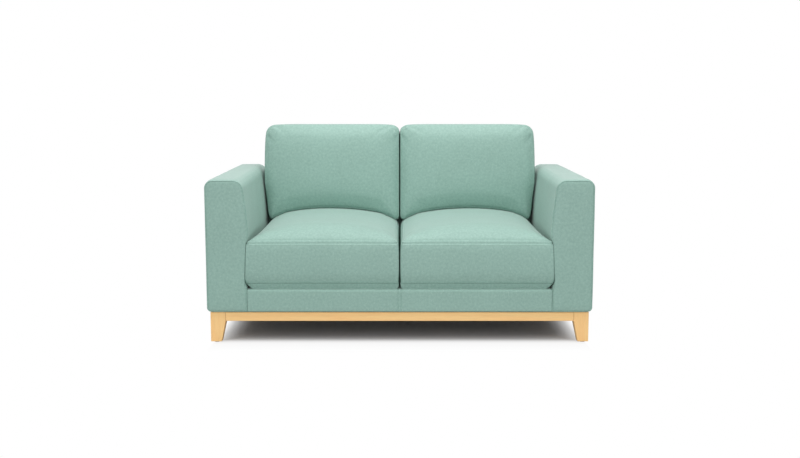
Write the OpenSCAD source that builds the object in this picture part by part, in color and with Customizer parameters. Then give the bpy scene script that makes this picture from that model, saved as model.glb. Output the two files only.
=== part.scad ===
// Two-seat sofa with low arms, loose seat and back cushions, and a wooden plinth on tapered legs.
// Millimetres. +X is to the right seen from the front, -Y is the front, +Z is up.
// The origin is on the floor, below the middle of the sofa.

/* [Overall] */
// Width over the arms
sofa_w = 1600; // [1450:10:1850]
// Depth from the front of the arms to the outer back
sofa_d = 900; // [860:5:980]
// Height of the arms
arm_h = 679; // [640:1:720]
// How far the top of the back lies below the arms
back_drop = 22; // [14:1:30]
// Height of the underside of the upholstered body
base_h = 127.5; // [110:0.5:150]
// Height of the upholstered front rail
front_rail_h = 98; // [92:1:120]

/* [Wooden base] */
// Width of a leg at its top
leg_w = 63; // [56:1:76]
// Width of a leg at the floor
leg_foot_w = 45; // [38:1:54]
// Depth of a leg at its top
leg_d = 56; // [50:1:70]
// Depth of a leg at the floor
leg_foot_d = 42; // [36:1:48]
// Radius of the upright edges of a leg
leg_edge_r = 2.5; // [1:0.5:5]
// Height of the plinth rails
plinth_h = 37; // [30:1:45]
// Thickness of the plinth rails
plinth_t = 22; // [18:1:28]
// Radius of the edges of the plinth rails
plinth_edge_r = 1.5; // [1:0.5:4]
// How far the plinth stands back from the body
plinth_inset = 12; // [6:1:20]
// Width across a foot glide
glide_d = 26; // [20:1:32]
// Height of a foot glide
glide_h = 3.5; // [3:0.5:6]
// Length of a corner block beside a leg
block_l = 70; // [55:1:90]
// Height of a corner block
block_h = 26; // [20:1:29]

/* [Timber frame] */
// Thickness of the frame boards
board_t = 25; // [20:1:28]
// Thickness of the thin arm panels and of the outer back board
panel_t = 3; // [2:0.5:5]
// Height of the ledger that the seat box is bolted to
ledger_h = 58; // [46:1:62]
// Length of a glued corner block along a seat rail
glue_block_l = 60; // [40:1:80]
// Height of a glued corner block
glue_block_h = 40; // [30:1:50]

/* [Bolts] */
// Diameter of a bolt
bolt_d = 8; // [6:1:10]
// Width of a bolt head over its flange
bolt_head_d = 16; // [13:1:20]
// Height of a bolt head
bolt_head_h = 5; // [4:0.5:7]
// Clearance round a bolt
bolt_gap = 0.3; // [0.2:0.1:0.6]

/* [Arms] */
// Width of an arm
arm_w = 168; // [140:2:190]
// Radius of the outer top edge
arm_outer_r = 38; // [28:1:44]
// Radius of the inner top edge
arm_inner_r = 42; // [32:1:48]
// Radius of the outer bottom edge
arm_bottom_r = 17; // [12:1:24]
// Radius of the edge that turns onto the front of the arm
arm_front_r = 5; // [4:0.5:10]
// How far the padded inner face swells towards the seat
arm_swell = 12; // [0:1:14]
// How far the inner face leans out at its top
arm_lean = 16; // [4:1:20]

/* [Padding and covers] */
// Thickness of the cover
cover_t = 1.5; // [1:0.1:2.2]
// Clearance between soft layers
soft_gap = 0.3; // [0.2:0.1:0.5]
// Clearance between slanted timber and what lies on it
fit_gap = 0.1; // [0.05:0.05:0.3]
// Thickness of the cloth under the body
dust_t = 0.8; // [0.6:0.1:1.2]
// How far a cover is turned in under the body
turn_in = 25; // [16:1:32]
// Padding on the outer side of an arm
arm_pad_outer = 8; // [5:1:14]
// Padding on top of an arm
arm_pad_top = 28; // [20:1:34]
// Padding on the inner side of an arm
arm_pad_inner = 26; // [20:1:32]
// Padding on the front of an arm and of the front rail
front_pad = 10; // [8:1:14]
// Radius of the top edge of the front rail
rail_top_r = 14; // [10:1:18]
// How far the front rail cover runs back over the deck
rail_return = 70; // [60:1:100]
// Thickness of the deck padding
deck_pad_t = 20; // [14:1:24]
// Padding on the inner back
back_pad_t = 22; // [16:1:26]

/* [Back frame] */
// Thickness of the back frame at the deck
back_foot_d = 158; // [145:1:180]
// Lean of the inner back, in degrees
back_lean = 8; // [4:0.5:10]
// Radius of the top front edge of the back
back_edge_r = 30; // [28:1:36]
// Height of the lower back rail
back_rail_h = 60; // [45:1:80]

/* [Webbing] */
// Width of a webbing band
web_w = 50; // [40:1:60]
// Thickness of a webbing band
web_t = 1.3; // [0.8:0.1:2]
// Bands from front to back under each seat
web_long_n = 5; // [3:1:5]
// Bands from side to side
web_cross_n = 7; // [4:1:8]
// Bands across the back
web_back_n = 4; // [2:1:4]

/* [Seat cushions] */
// Gap between cushions and what stands beside them
cushion_gap = 0.6; // [0.4:0.1:2]
// Gap in the middle between two cushions
middle_gap = 3; // [2:0.5:6]
// Height of the seam round the top of a seat cushion, above the deck
seat_seam_h = 191; // [150:1:210]
// Height of the lower seam, above the deck
seat_low_seam_h = 25; // [15:1:35]
// Rise of the crown above the top seam
seat_crown = 76; // [40:1:85]
// How far the crown's highest place lies in front of the inner back
crown_back = 140; // [110:5:200]
// How far the bottom edge is tucked in
seat_tuck = 14; // [6:1:20]
// How far the lower seam is drawn in
seat_low_draw = 3; // [1:1:6]
// How far the top seam is drawn in
seat_top_draw = 6; // [2:1:10]
// Radius of the upright corners
seat_corner_r = 12; // [8:1:30]
// How far the sides are drawn in between the corners
side_pull = 4; // [0:0.5:6]

/* [Back cushions] */
// Height of a back cushion along its back
back_cushion_h = 454; // [400:1:500]
// Thickness of a back cushion at its seams
back_cushion_t = 118; // [90:1:125]
// Rise of the crown on the front
back_crown = 32; // [20:1:45]
// How far the seams are drawn in
back_draw = 12; // [6:1:18]
// Radius of the corners seen from the front
back_corner_r = 44; // [35:1:60]
// How far the top is drawn in between its corners
back_pull = 1; // [0:0.5:4]
// How far the outer side stands over the arm
back_over_arm = 11; // [4:1:14]
// How far the outer side comes in again at its top
back_top_in = 10; // [0:1:16]
// Slot left open for the zip
zip_w = 4; // [3:0.5:6]
// Length of the zip
zip_l = 480; // [360:10:520]
// Height of the zip above the foot of a back cushion
zip_rise = 60; // [50:5:90]

/* [Hidden] */

// Colours
cover_colour = [0.56, 0.70, 0.65];
wood_colour = [0.93, 0.76, 0.53];
timber_colour = [0.84, 0.72, 0.53];
panel_colour = [0.62, 0.47, 0.32];
foam_colour = [0.93, 0.90, 0.78];
web_colour = [0.72, 0.62, 0.45];
dust_colour = [0.12, 0.12, 0.13];
steel_colour = [0.70, 0.71, 0.73];
glide_colour = [0.16, 0.16, 0.17];

// Overrun of every cut
over = 2;
// Steps round a small padded edge
edge_steps = 4;
// Steps up the inner face of an arm
face_steps = 8;
// Direction, in degrees, in which the inner top edge of an arm starts
arm_edge_from = 165;

// Planes of the whole sofa
half_w = sofa_w / 2;
half_d = sofa_d / 2;
back_h = arm_h - back_drop;
body_z = base_h + dust_t;
frame_z = body_z + cover_t;
seat_z = base_h + front_rail_h;
deck_top = seat_z - soft_gap;
arm_in_x = half_w - arm_w;
cover_back_y = half_d - cover_t;
frame_back_y = cover_back_y - soft_gap - panel_t;
frame_front_y = -half_d + cover_t + soft_gap + front_pad;

// Webbing and deck levels
web_gap = soft_gap;
web_stack = 2 * web_t + web_gap;
web_top = deck_top - cover_t - deck_pad_t;
rail_top = web_top - web_stack;

// Wooden base
plinth_x = half_w - plinth_inset;
plinth_y = half_d - plinth_inset;
leg_in_x = plinth_x - leg_w;
leg_in_y = plinth_y - leg_d;
block_bolt_share = 0.35;
block_bolt_x = leg_in_x - block_bolt_share * block_l;
block_bolt_y = plinth_y - plinth_t - bolt_head_d;

// Depth of a bolt in the sill, and of its hole
bolt_depth_share = 0.75;
bolt_hole_depth_share = 0.8;
// Height of the slices that a leg is drawn between
leg_slice_share = 0.1;

// Padded arm frame
frame_x0 = arm_in_x + cover_t + soft_gap + arm_pad_inner;
frame_x1 = half_w - cover_t - soft_gap - arm_pad_outer;
frame_top = arm_h - cover_t - soft_gap - arm_pad_top;
frame_corner = [half_w - arm_bottom_r, frame_z];
frame_side = [[frame_x1, body_z + arm_bottom_r], [frame_x1, frame_top]];
lean_power = 3;
ledger_x0 = arm_in_x + cover_t;
arm_bolt_shares = [0.15, 0.5, 0.85];
post_shares = [0, 0.5, 1];

// Inner back, a leaning plane through the deck
back_y = half_d - back_foot_d;
back_frame_inset = cover_t + soft_gap + back_pad_t + web_stack + 2 * fit_gap;
back_top_z = back_h - back_frame_inset - board_t;

// Cushions
crown_shares = [0.94, 0.85, 0.7, 0.48, 0.24];
crown_power = 3;
crown_round = 1.5;
crown_turn_share = 0.9;
top_in_power = 6;
ring_side_steps = 6;
ring_corner_steps = 3;

// A row of points round an arc
function arc(c, r, from, to, n) =
    [for (i = [0:n]) let (a = from + (to - from) * i / n) c + r * [cos(a), sin(a)]];

// The inner face of an arm at a height
function arm_face_share(z) = max(0, (z - seat_z) / (arm_h - arm_inner_r - seat_z));
function arm_face_x(z) = let (t = arm_face_share(z))
    arm_in_x - arm_swell * sin(180 * min(t, 1)) + arm_lean * pow(t, lean_power);
function arm_face_z(i) = seat_z + (arm_h - arm_inner_r - seat_z) * i / face_steps;
arm_narrow_x = min([for (i = [0:face_steps]) arm_face_x(arm_face_z(i))]);

arm_inner_c = [arm_in_x + arm_lean + arm_inner_r, arm_h - arm_inner_r];

// Inner side of the arm outline, upwards, inset by e
function arm_inner_side(e) = concat(
    [[arm_in_x + e, body_z + e]],
    [for (i = [0:face_steps]) let (z = arm_face_z(i)) [arm_face_x(z) + e, z]],
    arc(arm_inner_c, arm_inner_r - e, arm_edge_from, 90, edge_steps + 1)
);

// Outer side of the arm outline, upwards, inset by e
function arm_outer_side(e) = concat(
    arc([half_w - arm_bottom_r, body_z + arm_bottom_r], arm_bottom_r - e, -90, 0, edge_steps),
    arc([half_w - arm_outer_r, arm_h - arm_outer_r], arm_outer_r - e, 0, 90, edge_steps + 1)
);

// Outline of the right arm seen from the front, counterclockwise, inset by e
function arm_outline(e) = concat(arm_outer_side(e), reversed(arm_inner_side(e)));
function reversed(list) = [for (i = [len(list) - 1:-1:0]) list[i]];

// Rings of an arm from its rear to the rounded front edge, inset by t
function arm_rings(t, rear_y) = concat(
    [[for (p = arm_outline(t)) [p.x, rear_y, p.y]]],
    [for (i = [0:edge_steps]) let (a = 90 * i / edge_steps, e = arm_front_r - (arm_front_r - t) * cos(a))
        [for (p = arm_outline(e)) [p.x, arm_front_r - half_d - (arm_front_r - t) * sin(a), p.y]]]
);

// Closed solid through a stack of rings, each counterclockwise seen from the way they are stacked
module loft(rings, low, high) {
    n = len(rings[0]);
    m = len(rings);
    points = concat([for (ring = rings, p = ring) p], [low, high]);
    faces = concat(
        [for (i = [0:m - 2], j = [0:n - 1]) [i * n + j, (i + 1) * n + (j + 1) % n, i * n + (j + 1) % n]],
        [for (i = [0:m - 2], j = [0:n - 1]) [i * n + j, (i + 1) * n + j, (i + 1) * n + (j + 1) % n]],
        [for (j = [0:n - 1]) [m * n, j, (j + 1) % n]],
        [for (j = [0:n - 1]) [m * n + 1, (m - 1) * n + (j + 1) % n, (m - 1) * n + j]]
    );
    polyhedron(points, faces);
}

// Mean of a ring's points
function middle(ring) = [for (k = [0:2]) [for (p = ring) p[k]] * [for (p = ring) 1] / len(ring)];

// Solid of the right arm, inset by t
module arm_solid(t, rear_y) {
    rings = arm_rings(t, rear_y);
    loft(rings, middle(rings[0]), middle(rings[len(rings) - 1]));
}

// Box from its low corner to its high corner
module block(low, high) {
    translate(low)
        cube(high - low);
}

// An outline in Y and Z drawn along X, to half a width on both sides
module along_x(half) {
    translate([-half, 0, 0])
        rotate([90, 0, 90])
            linear_extrude(2 * half)
                children();
}

// An outline in X and Z drawn along Y
module along_y(front, rear) {
    translate([0, rear, 0])
        rotate([90, 0, 0])
            linear_extrude(rear - front)
                children();
}

module left() {
    mirror([1, 0, 0])
        children();
}

module rear() {
    mirror([0, 1, 0])
        children();
}

module four_corners() {
    children();
    left() children();
    rear() children();
    left() rear() children();
}

// Wooden base
module leg_plan(w, d) {
    translate([plinth_x - w + leg_edge_r, leg_edge_r - plinth_y])
        offset(leg_edge_r, $fn = 24)
            square([w - 2 * leg_edge_r, d - 2 * leg_edge_r]);
}

module leg() {
    slice = leg_edge_r * leg_slice_share;
    color(wood_colour) {
        translate([0, 0, base_h - plinth_h])
            linear_extrude(plinth_h)
                leg_plan(leg_w, leg_d);
        hull() {
            translate([0, 0, base_h - plinth_h])
                linear_extrude(slice)
                    leg_plan(leg_w, leg_d);
            translate([0, 0, glide_h])
                linear_extrude(slice)
                    leg_plan(leg_foot_w, leg_foot_d);
        }
    }
}

module front_right_leg() {
    leg();
}

module front_left_leg() {
    left() leg();
}

module rear_right_leg() {
    rear() leg();
}

module rear_left_leg() {
    left() rear() leg();
}

module foot_glides() {
    color(glide_colour)
        four_corners()
            translate([plinth_x - leg_foot_w / 2, leg_foot_d / 2 - plinth_y, 0])
                cylinder(d = glide_d, h = glide_h, $fn = 48);
}

// Section of a plinth rail with eased edges, its outer face at 0
module plinth_section() {
    translate([plinth_edge_r, base_h - plinth_h + plinth_edge_r])
        offset(plinth_edge_r, $fn = 16)
            square([plinth_t - 2 * plinth_edge_r, plinth_h - 2 * plinth_edge_r]);
}

module long_plinth_rail() {
    color(wood_colour)
        along_x(leg_in_x)
            translate([-plinth_y, 0])
                plinth_section();
}

module side_plinth_rail() {
    color(wood_colour)
        along_y(-leg_in_y, leg_in_y)
            translate([plinth_x - plinth_t, 0])
                plinth_section();
}

module front_plinth_rail() {
    long_plinth_rail();
}

module rear_plinth_rail() {
    rear() long_plinth_rail();
}

module right_plinth_rail() {
    side_plinth_rail();
}

module left_plinth_rail() {
    left() side_plinth_rail();
}

// Block that fits round the inner corner of a leg and ties both rails to it
module corner_block() {
    rail_x = plinth_x - plinth_t;
    rail_y = plinth_t - plinth_y;
    translate([0, 0, base_h - block_h])
        linear_extrude(block_h)
            polygon([
                [leg_in_x - block_l, rail_y], [leg_in_x, rail_y], [leg_in_x, -leg_in_y],
                [rail_x, -leg_in_y], [rail_x, block_l - leg_in_y]
            ]);
}

module base_bolt_hole(extra) {
    depth = board_t * bolt_hole_depth_share;
    translate([block_bolt_x, -block_bolt_y, base_h - block_h - over])
        cylinder(d = bolt_d + extra, h = block_h + over + frame_z - base_h + depth, $fn = 32);
}

module plinth_corner_blocks() {
    color(timber_colour)
        four_corners()
            difference() {
                corner_block();
                base_bolt_hole(2 * bolt_gap);
            }
}

module base_bolts() {
    color(steel_colour)
        four_corners() {
            translate([block_bolt_x, -block_bolt_y, base_h - block_h])
                cylinder(d = bolt_d, h = block_h + frame_z - base_h + board_t * bolt_depth_share, $fn = 32);
            translate([block_bolt_x, -block_bolt_y, base_h - block_h - bolt_head_h])
                cylinder(d = bolt_head_d, h = bolt_head_h, $fn = 6);
        }
}

module dust_cover() {
    edge = arm_bottom_r;
    color(dust_colour)
        difference() {
            block([edge - half_w, edge - half_d, base_h], [half_w - edge, half_d - edge, body_z]);
            four_corners() base_bolt_hole(2 * bolt_gap);
        }
}

// Seat box
module front_seat_rail() {
    color(timber_colour)
        block([-arm_in_x, frame_front_y, frame_z], [arm_in_x, frame_front_y + board_t, rail_top]);
}

module rear_seat_rail() {
    color(timber_colour)
        block([-arm_in_x, frame_back_y - board_t, frame_z], [arm_in_x, frame_back_y, rail_top]);
}

seat_rail_y0 = frame_front_y + board_t;
seat_rail_y1 = frame_back_y - board_t;

module at_arm_bolts() {
    for (share = arm_bolt_shares)
        translate([0, seat_rail_y0 + share * (seat_rail_y1 - seat_rail_y0), frame_z + ledger_h / 2])
            rotate([0, 90, 0])
                children();
}

module arm_bolt_holes() {
    start = arm_in_x - board_t - over;
    at_arm_bolts()
        translate([0, 0, start])
            cylinder(d = bolt_d + 2 * bolt_gap, h = frame_x0 - soft_gap - start, $fn = 32);
}

module right_seat_rail() {
    color(timber_colour)
        difference() {
            block([arm_in_x - board_t, seat_rail_y0, frame_z], [arm_in_x, seat_rail_y1, rail_top]);
            arm_bolt_holes();
        }
}

module left_seat_rail() {
    left() right_seat_rail();
}

module centre_seat_rail() {
    color(timber_colour)
        block([-board_t / 2, seat_rail_y0, frame_z], [board_t / 2, seat_rail_y1, rail_top]);
}

module glue_block(x, y, turn) {
    translate([x, y, rail_top - glue_block_h - web_t])
        rotate([0, 0, turn])
            linear_extrude(glue_block_h)
                polygon([[0, 0], [glue_block_l, 0], [0, glue_block_l]]);
}

module seat_corner_blocks() {
    inner_x = arm_in_x - board_t;
    color(timber_colour) {
        glue_block(-inner_x, seat_rail_y0, 0);
        glue_block(inner_x, seat_rail_y0, 90);
        glue_block(inner_x, seat_rail_y1, 180);
        glue_block(-inner_x, seat_rail_y1, 270);
    }
}

module arm_bolts() {
    color(steel_colour)
        for (side = [0, 1])
            mirror([side, 0, 0])
                at_arm_bolts() {
                    translate([0, 0, arm_in_x - board_t])
                        cylinder(d = bolt_d, h = board_t + frame_x0 - arm_in_x - 2 * soft_gap, $fn = 32);
                    translate([0, 0, arm_in_x - board_t - bolt_head_h])
                        cylinder(d = bolt_head_d, h = bolt_head_h, $fn = 6);
                }
}

// Woven webbing: a band's side view lies low or high by turns at each band that it crosses
function band_path(length, centres, parity) = concat(
    [[0, 0]],
    [for (i = [0:len(centres) - 1]) let (h = (i + parity) % 2 * (web_t + web_gap), half = web_w / 2 + web_gap)
        each [[centres[i] - half, h], [centres[i] + half, h]]],
    [[length, 0]]
);

module band(length, centres, parity) {
    path = band_path(length, centres, parity);
    translate([0, web_w / 2, 0])
        rotate([90, 0, 0])
            linear_extrude(web_w)
                polygon(concat(path, reversed([for (p = path) p + [0, web_t]])));
}

// Even places for n bands in a space
function even_places(from, to, n) = [for (i = [0:n - 1]) from + (to - from) * (i + 0.5) / n];

long_places = concat(
    even_places(board_t - arm_in_x, -board_t / 2, web_long_n),
    even_places(board_t / 2, arm_in_x - board_t, web_long_n)
);
cross_places = even_places(seat_rail_y0, back_y, web_cross_n);

module seat_webbing_long() {
    color(web_colour)
        for (i = [0:len(long_places) - 1])
            translate([long_places[i], frame_front_y, rail_top])
                rotate([0, 0, 90])
                    band(frame_back_y - frame_front_y, [for (y = cross_places) y - frame_front_y], i);
}

module seat_webbing_cross() {
    color(web_colour)
        for (i = [0:len(cross_places) - 1])
            translate([-arm_in_x, cross_places[i], rail_top])
                band(2 * arm_in_x, [for (x = long_places) x + arm_in_x], i + 1);
}

// Front rail: the cover turns in below, runs up, over the padded edge and back onto the deck
function rail_path(e) = concat(
    [[turn_in - half_d, body_z + e], [e - half_d, body_z + e]],
    arc([rail_top_r - half_d, deck_top - rail_top_r], rail_top_r - e, 180, 90, edge_steps),
    [[rail_return - half_d, deck_top - e]]
);

module front_rail_cover() {
    color(cover_colour)
        along_x(arm_in_x - soft_gap)
            polygon(concat(rail_path(0), reversed(rail_path(cover_t))));
}

module front_rail_pad() {
    inset = cover_t + soft_gap;
    color(foam_colour)
        along_x(arm_in_x - soft_gap)
            difference() {
                polygon(concat(rail_path(inset), [[rail_return - half_d, web_top]]));
                translate([frame_front_y, body_z - over])
                    square([sofa_d, web_top - body_z + over]);
                translate([-half_d, body_z - over])
                    square([sofa_d, frame_z - body_z + over]);
            }
}

module deck_pad() {
    color(foam_colour)
        block(
            [soft_gap - arm_in_x, rail_return - half_d + soft_gap, web_top],
            [arm_in_x - soft_gap, back_face_y(web_top) - soft_gap, deck_top - cover_t]
        );
}

module deck_cloth() {
    color(cover_colour)
        block(
            [soft_gap - arm_in_x, rail_return - half_d + soft_gap, deck_top - cover_t],
            [arm_in_x - soft_gap, back_face_y(deck_top - cover_t) - soft_gap, deck_top]
        );
}

// Arm frames, drawn for the right arm, with the lower outer edge cut off inside the rounded cover
module arm_board(z0, z1) {
    color(timber_colour)
        along_y(frame_front_y, frame_back_y)
            intersection() {
                polygon(concat([[frame_x0, frame_z], frame_corner], frame_side, [[frame_x0, frame_top]]));
                translate([frame_x0 + panel_t, z0])
                    square([frame_x1 - frame_x0 - 2 * panel_t, z1 - z0]);
            }
}

module arm_posts() {
    color(timber_colour)
        for (share = post_shares)
            translate([0, share * (frame_back_y - frame_front_y - board_t), 0])
                block(
                    [frame_x0 + panel_t, frame_front_y, frame_z + board_t],
                    [frame_x1 - panel_t, frame_front_y + board_t, frame_top - board_t]
                );
}

module arm_sill() {
    difference() {
        arm_board(frame_z, frame_z + board_t);
        base_bolt_hole(2 * bolt_gap);
        rear() base_bolt_hole(2 * bolt_gap);
    }
}

module arm_ledger() {
    color(timber_colour)
        difference() {
            block([ledger_x0, frame_front_y, frame_z], [frame_x0, frame_back_y, frame_z + ledger_h]);
            arm_bolt_holes();
        }
}

module arm_panel(x, z) {
    color(panel_colour)
        block([x, frame_front_y, z], [x + panel_t, frame_back_y, frame_top]);
}

module arm_foam() {
    color(foam_colour)
        difference() {
            arm_solid(cover_t + soft_gap, cover_back_y - soft_gap);
            along_y(frame_front_y, half_d)
                polygon(concat(
                    [[arm_in_x, body_z - over], [frame_corner.x, body_z - over], frame_corner], frame_side,
                    [[frame_x0, frame_top], [frame_x0, frame_z + ledger_h], [arm_in_x, frame_z + ledger_h]]
                ));
            along_y(frame_back_y, half_d)
                outer_back_outline();
        }
}

module arm_cover() {
    color(cover_colour)
        difference() {
            arm_solid(0, cover_back_y);
            arm_solid(cover_t, half_d);
            arm_front_opening();
            block([arm_in_x + turn_in, frame_front_y, base_h], [half_w - turn_in, half_d, frame_z + over]);
            arm_bolt_holes();
            along_y(frame_back_y, half_d)
                outer_back_outline();
        }
}

// The outer back board runs over the rear of the arm frames, and up to the top rail between them
module outer_back_outline() {
    side = concat([frame_corner], frame_side, [[frame_x0, frame_top], [frame_x0, back_top_z + board_t]]);
    polygon(concat(side, reversed([for (p = side) [-p.x, p.y]])));
}

module arm_front_opening() {
    along_y(-half_d - over, frame_front_y)
        polygon(arm_outline(arm_front_r));
}

module arm_facing() {
    color(cover_colour)
        along_y(-half_d, cover_t - half_d)
            polygon(arm_outline(arm_front_r + soft_gap / 2));
}

module right_arm_posts() {
    arm_posts();
}

module right_arm_top_rail() {
    arm_board(frame_top - board_t, frame_top);
}

module right_arm_sill() {
    arm_sill();
}

module right_arm_ledger() {
    arm_ledger();
}

module right_arm_outer_panel() {
    arm_panel(frame_x1 - panel_t, body_z + arm_bottom_r);
}

module right_arm_inner_panel() {
    arm_panel(frame_x0, frame_z);
}

module right_arm_foam() {
    arm_foam();
}

module right_arm_cover() {
    arm_cover();
}

module right_arm_facing() {
    arm_facing();
}

module left_arm_posts() {
    left() arm_posts();
}

module left_arm_top_rail() {
    left() right_arm_top_rail();
}

module left_arm_sill() {
    left() arm_sill();
}

module left_arm_ledger() {
    left() arm_ledger();
}

module left_arm_outer_panel() {
    left() right_arm_outer_panel();
}

module left_arm_inner_panel() {
    left() right_arm_inner_panel();
}

module left_arm_foam() {
    left() arm_foam();
}

module left_arm_cover() {
    left() arm_cover();
}

module left_arm_facing() {
    left() arm_facing();
}

// Inner back: front face at a height, inset by e square to the face
function back_face_y(z, e = 0) = back_y + (z - deck_top) * tan(back_lean) + e / cos(back_lean);

// Path up the inner back and over its top, inset by e
function back_path(e) = concat(
    [[back_face_y(web_top, e), web_top]],
    arc(
        [back_face_y(back_h - back_edge_r, back_edge_r), back_h - back_edge_r],
        back_edge_r - e, 180 - back_lean, 90, edge_steps + 2
    ),
    [[cover_back_y - e, back_h - e]]
);

// The space between the arms, seen from the front
module between_arms() {
    side = [for (p = arm_inner_side(0)) p - [soft_gap, 0]];
    along_y(0, half_d)
        polygon(concat(side, reversed([for (p = side) [-p.x, p.y]])));
}

module back_layer(e0, e1) {
    intersection() {
        along_x(half_w)
            polygon(concat(back_path(e0), reversed(back_path(e1))));
        between_arms();
    }
}

module inner_back_cover() {
    color(cover_colour)
        back_layer(0, cover_t);
}

module inner_back_pad() {
    color(foam_colour)
        back_layer(cover_t + soft_gap, cover_t + soft_gap + back_pad_t);
}

// Frame timber behind the padding, between two heights
module back_timber(z0, z1, rear_y) {
    polygon([
        [back_face_y(z0, back_frame_inset), z0], [rear_y, z0],
        [rear_y, z1], [back_face_y(z1, back_frame_inset), z1]
    ]);
}

module back_uprights() {
    color(timber_colour)
        for (side = [-1, 0, 1])
            translate([side * (arm_narrow_x - board_t), 0, 0])
                along_x(board_t / 2)
                    back_timber(rail_top, back_top_z, frame_back_y);
}

module back_top_rail() {
    color(timber_colour)
        along_x(arm_narrow_x - board_t / 2)
            back_timber(back_top_z, back_top_z + board_t, frame_back_y);
}

module back_bottom_rails() {
    z0 = web_top + soft_gap;
    z1 = z0 + back_rail_h;
    clear = (arm_narrow_x - 2 * board_t) / 2 - fit_gap;
    color(timber_colour)
        for (side = [-1, 1])
            translate([side * (arm_narrow_x - board_t) / 2, 0, 0])
                along_x(clear)
                    polygon([
                        [back_face_y(z0, back_frame_inset), z0],
                        [back_face_y(z0, back_frame_inset + board_t), z0],
                        [back_face_y(z1, back_frame_inset + board_t), z1],
                        [back_face_y(z1, back_frame_inset), z1]
                    ]);
}

// Places things on the leaning plane: X across, Y up the plane, Z towards the sitter
module on_back_plane(z, e) {
    translate([0, back_face_y(z, e), z])
        rotate([90 - back_lean, 0, 0])
            children();
}

module back_webbing() {
    z0 = web_top + soft_gap;
    rise = (back_h - back_edge_r - z0) / cos(back_lean);
    rows = even_places(back_rail_h, rise - board_t, web_back_n);
    reach = arm_narrow_x - board_t / 2;
    columns = [for (x = long_places) x + reach];
    color(web_colour)
        on_back_plane(z0, back_frame_inset - fit_gap) {
            for (i = [0:len(rows) - 1])
                translate([-reach, rows[i], 0])
                    band(2 * reach, columns, i + 1);
            for (i = [0:len(long_places) - 1])
                translate([long_places[i], 0, 0])
                    rotate([0, 0, 90])
                        band(rise, rows, i);
        }
}

module outer_back_board() {
    color(panel_colour)
        along_y(frame_back_y, frame_back_y + panel_t)
            outer_back_outline();
}

// The outer back is one panel: over the rear of both arms, and down to the top of the back between them
module outer_back_cover() {
    meet = 180 - asin((back_h - arm_inner_c.y) / arm_inner_r);
    side = concat(arm_outer_side(0), arc(arm_inner_c, arm_inner_r, 90, meet, edge_steps));
    color(cover_colour)
        along_y(cover_back_y, half_d)
            polygon(concat(side, reversed([for (p = side) [-p.x, p.y]])));
}

// Rounded rectangle of half sizes a and b, counterclockwise, its sides drawn in between the corners
function ring_corner(q) = [[1, 1], [-1, 1], [-1, -1], [1, -1]][q % 4];
function ring_side(p, q) = [for (i = [1:ring_side_steps - 1]) p + (q - p) * i / ring_side_steps];
function ring(a, b, r, pull) = let (
    corners = [for (q = [0:3]) let (s = ring_corner(q), c = [s.x * (a - r), s.y * (b - r)])
        arc(c, r, 90 * q, 90 * q + 90, ring_corner_steps)],
    points = [for (q = [0:3])
        each concat(corners[q], ring_side(corners[q][ring_corner_steps], corners[(q + 1) % 4][0]))]
) [for (p = points) let (u = p.x / a, v = p.y / b) p - pull * [u * (1 - v * v), v * (1 - u * u)]];

// Rings of a crown over a seam ring of half sizes a and b, towards its highest place
function crown_rise(s) = pow(1 - pow(s, crown_power), 1 / crown_round);
function crown_ring(s, a, b, r, pull, peak, z) =
    let (turn = r * s + (1 - s) * min(a, b) * s * crown_turn_share)
        [for (p = ring(a * s, b * s, turn, pull * s)) [p.x + peak.x * (1 - s), p.y + peak.y * (1 - s), z]];
function crown_rings(a, b, r, pull, peak, z, rise) =
    [for (s = crown_shares) crown_ring(s, a, b, r, pull, peak, z + rise * crown_rise(s))];

// Left seat cushion, inset by t all round, its plan centred on its own middle
seat_x0 = arm_narrow_x - cushion_gap;
seat_half_w = (seat_x0 - middle_gap / 2) / 2;
seat_half_d = (half_d + back_y - cushion_gap) / 2;
seat_middle = [-middle_gap / 2 - seat_half_w, seat_half_d - half_d, seat_z];

seat_peak = [0, seat_half_d - crown_back];

function seat_ring(t, draw, z) = [
    for (p = ring(seat_half_w - draw - t, seat_half_d - draw - t, seat_corner_r, side_pull)) [p.x, p.y, z]
];
function seat_crown_rings(t) = crown_rings(
    seat_half_w - seat_top_draw - t, seat_half_d - seat_top_draw - t, seat_corner_r, side_pull,
    seat_peak, seat_seam_h - t, seat_crown
);

// Seat cushion from the given side rings, each a height and how far it is drawn in
module seat_loft(t, sides) {
    rings = concat([for (side = sides) seat_ring(t, side.y, side.x)], seat_crown_rings(t));
    translate(seat_middle)
        loft(rings, [0, 0, sides[0].x], [seat_peak.x, seat_peak.y, seat_seam_h - t + seat_crown]);
}

module seat_form(t) {
    seat_loft(t, [
        [t, seat_tuck], [seat_low_seam_h, seat_low_draw],
        [(seat_low_seam_h + seat_seam_h) / 2, 0], [seat_seam_h - t, seat_top_draw]
    ]);
}

// Only the crown of a seat cushion, down to below its seam
module seat_crown_form(t) {
    seat_loft(t, [[seat_seam_h / 2, 0], [seat_seam_h - t, seat_top_draw]]);
}

module seat_zip_slot() {
    z = (seat_low_seam_h + seat_seam_h - zip_w) / 2;
    translate(seat_middle + [-zip_l / 2, seat_half_d - seat_corner_r, z])
        cube([zip_l, seat_corner_r + over, zip_w]);
}

module seat_cushion_cover() {
    color(cover_colour)
        difference() {
            seat_form(0);
            seat_form(cover_t);
            seat_zip_slot();
        }
}

module seat_cushion_core() {
    color(foam_colour)
        seat_form(cover_t + soft_gap);
}

// Left back cushion: its rings are stacked from the inner back towards the sitter
back_foot_z = seat_z + seat_seam_h + cushion_gap;
back_x0 = arm_in_x + back_over_arm;
back_half_w = (back_x0 - middle_gap / 2) / 2;
back_half_h = back_cushion_h / 2;

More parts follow.
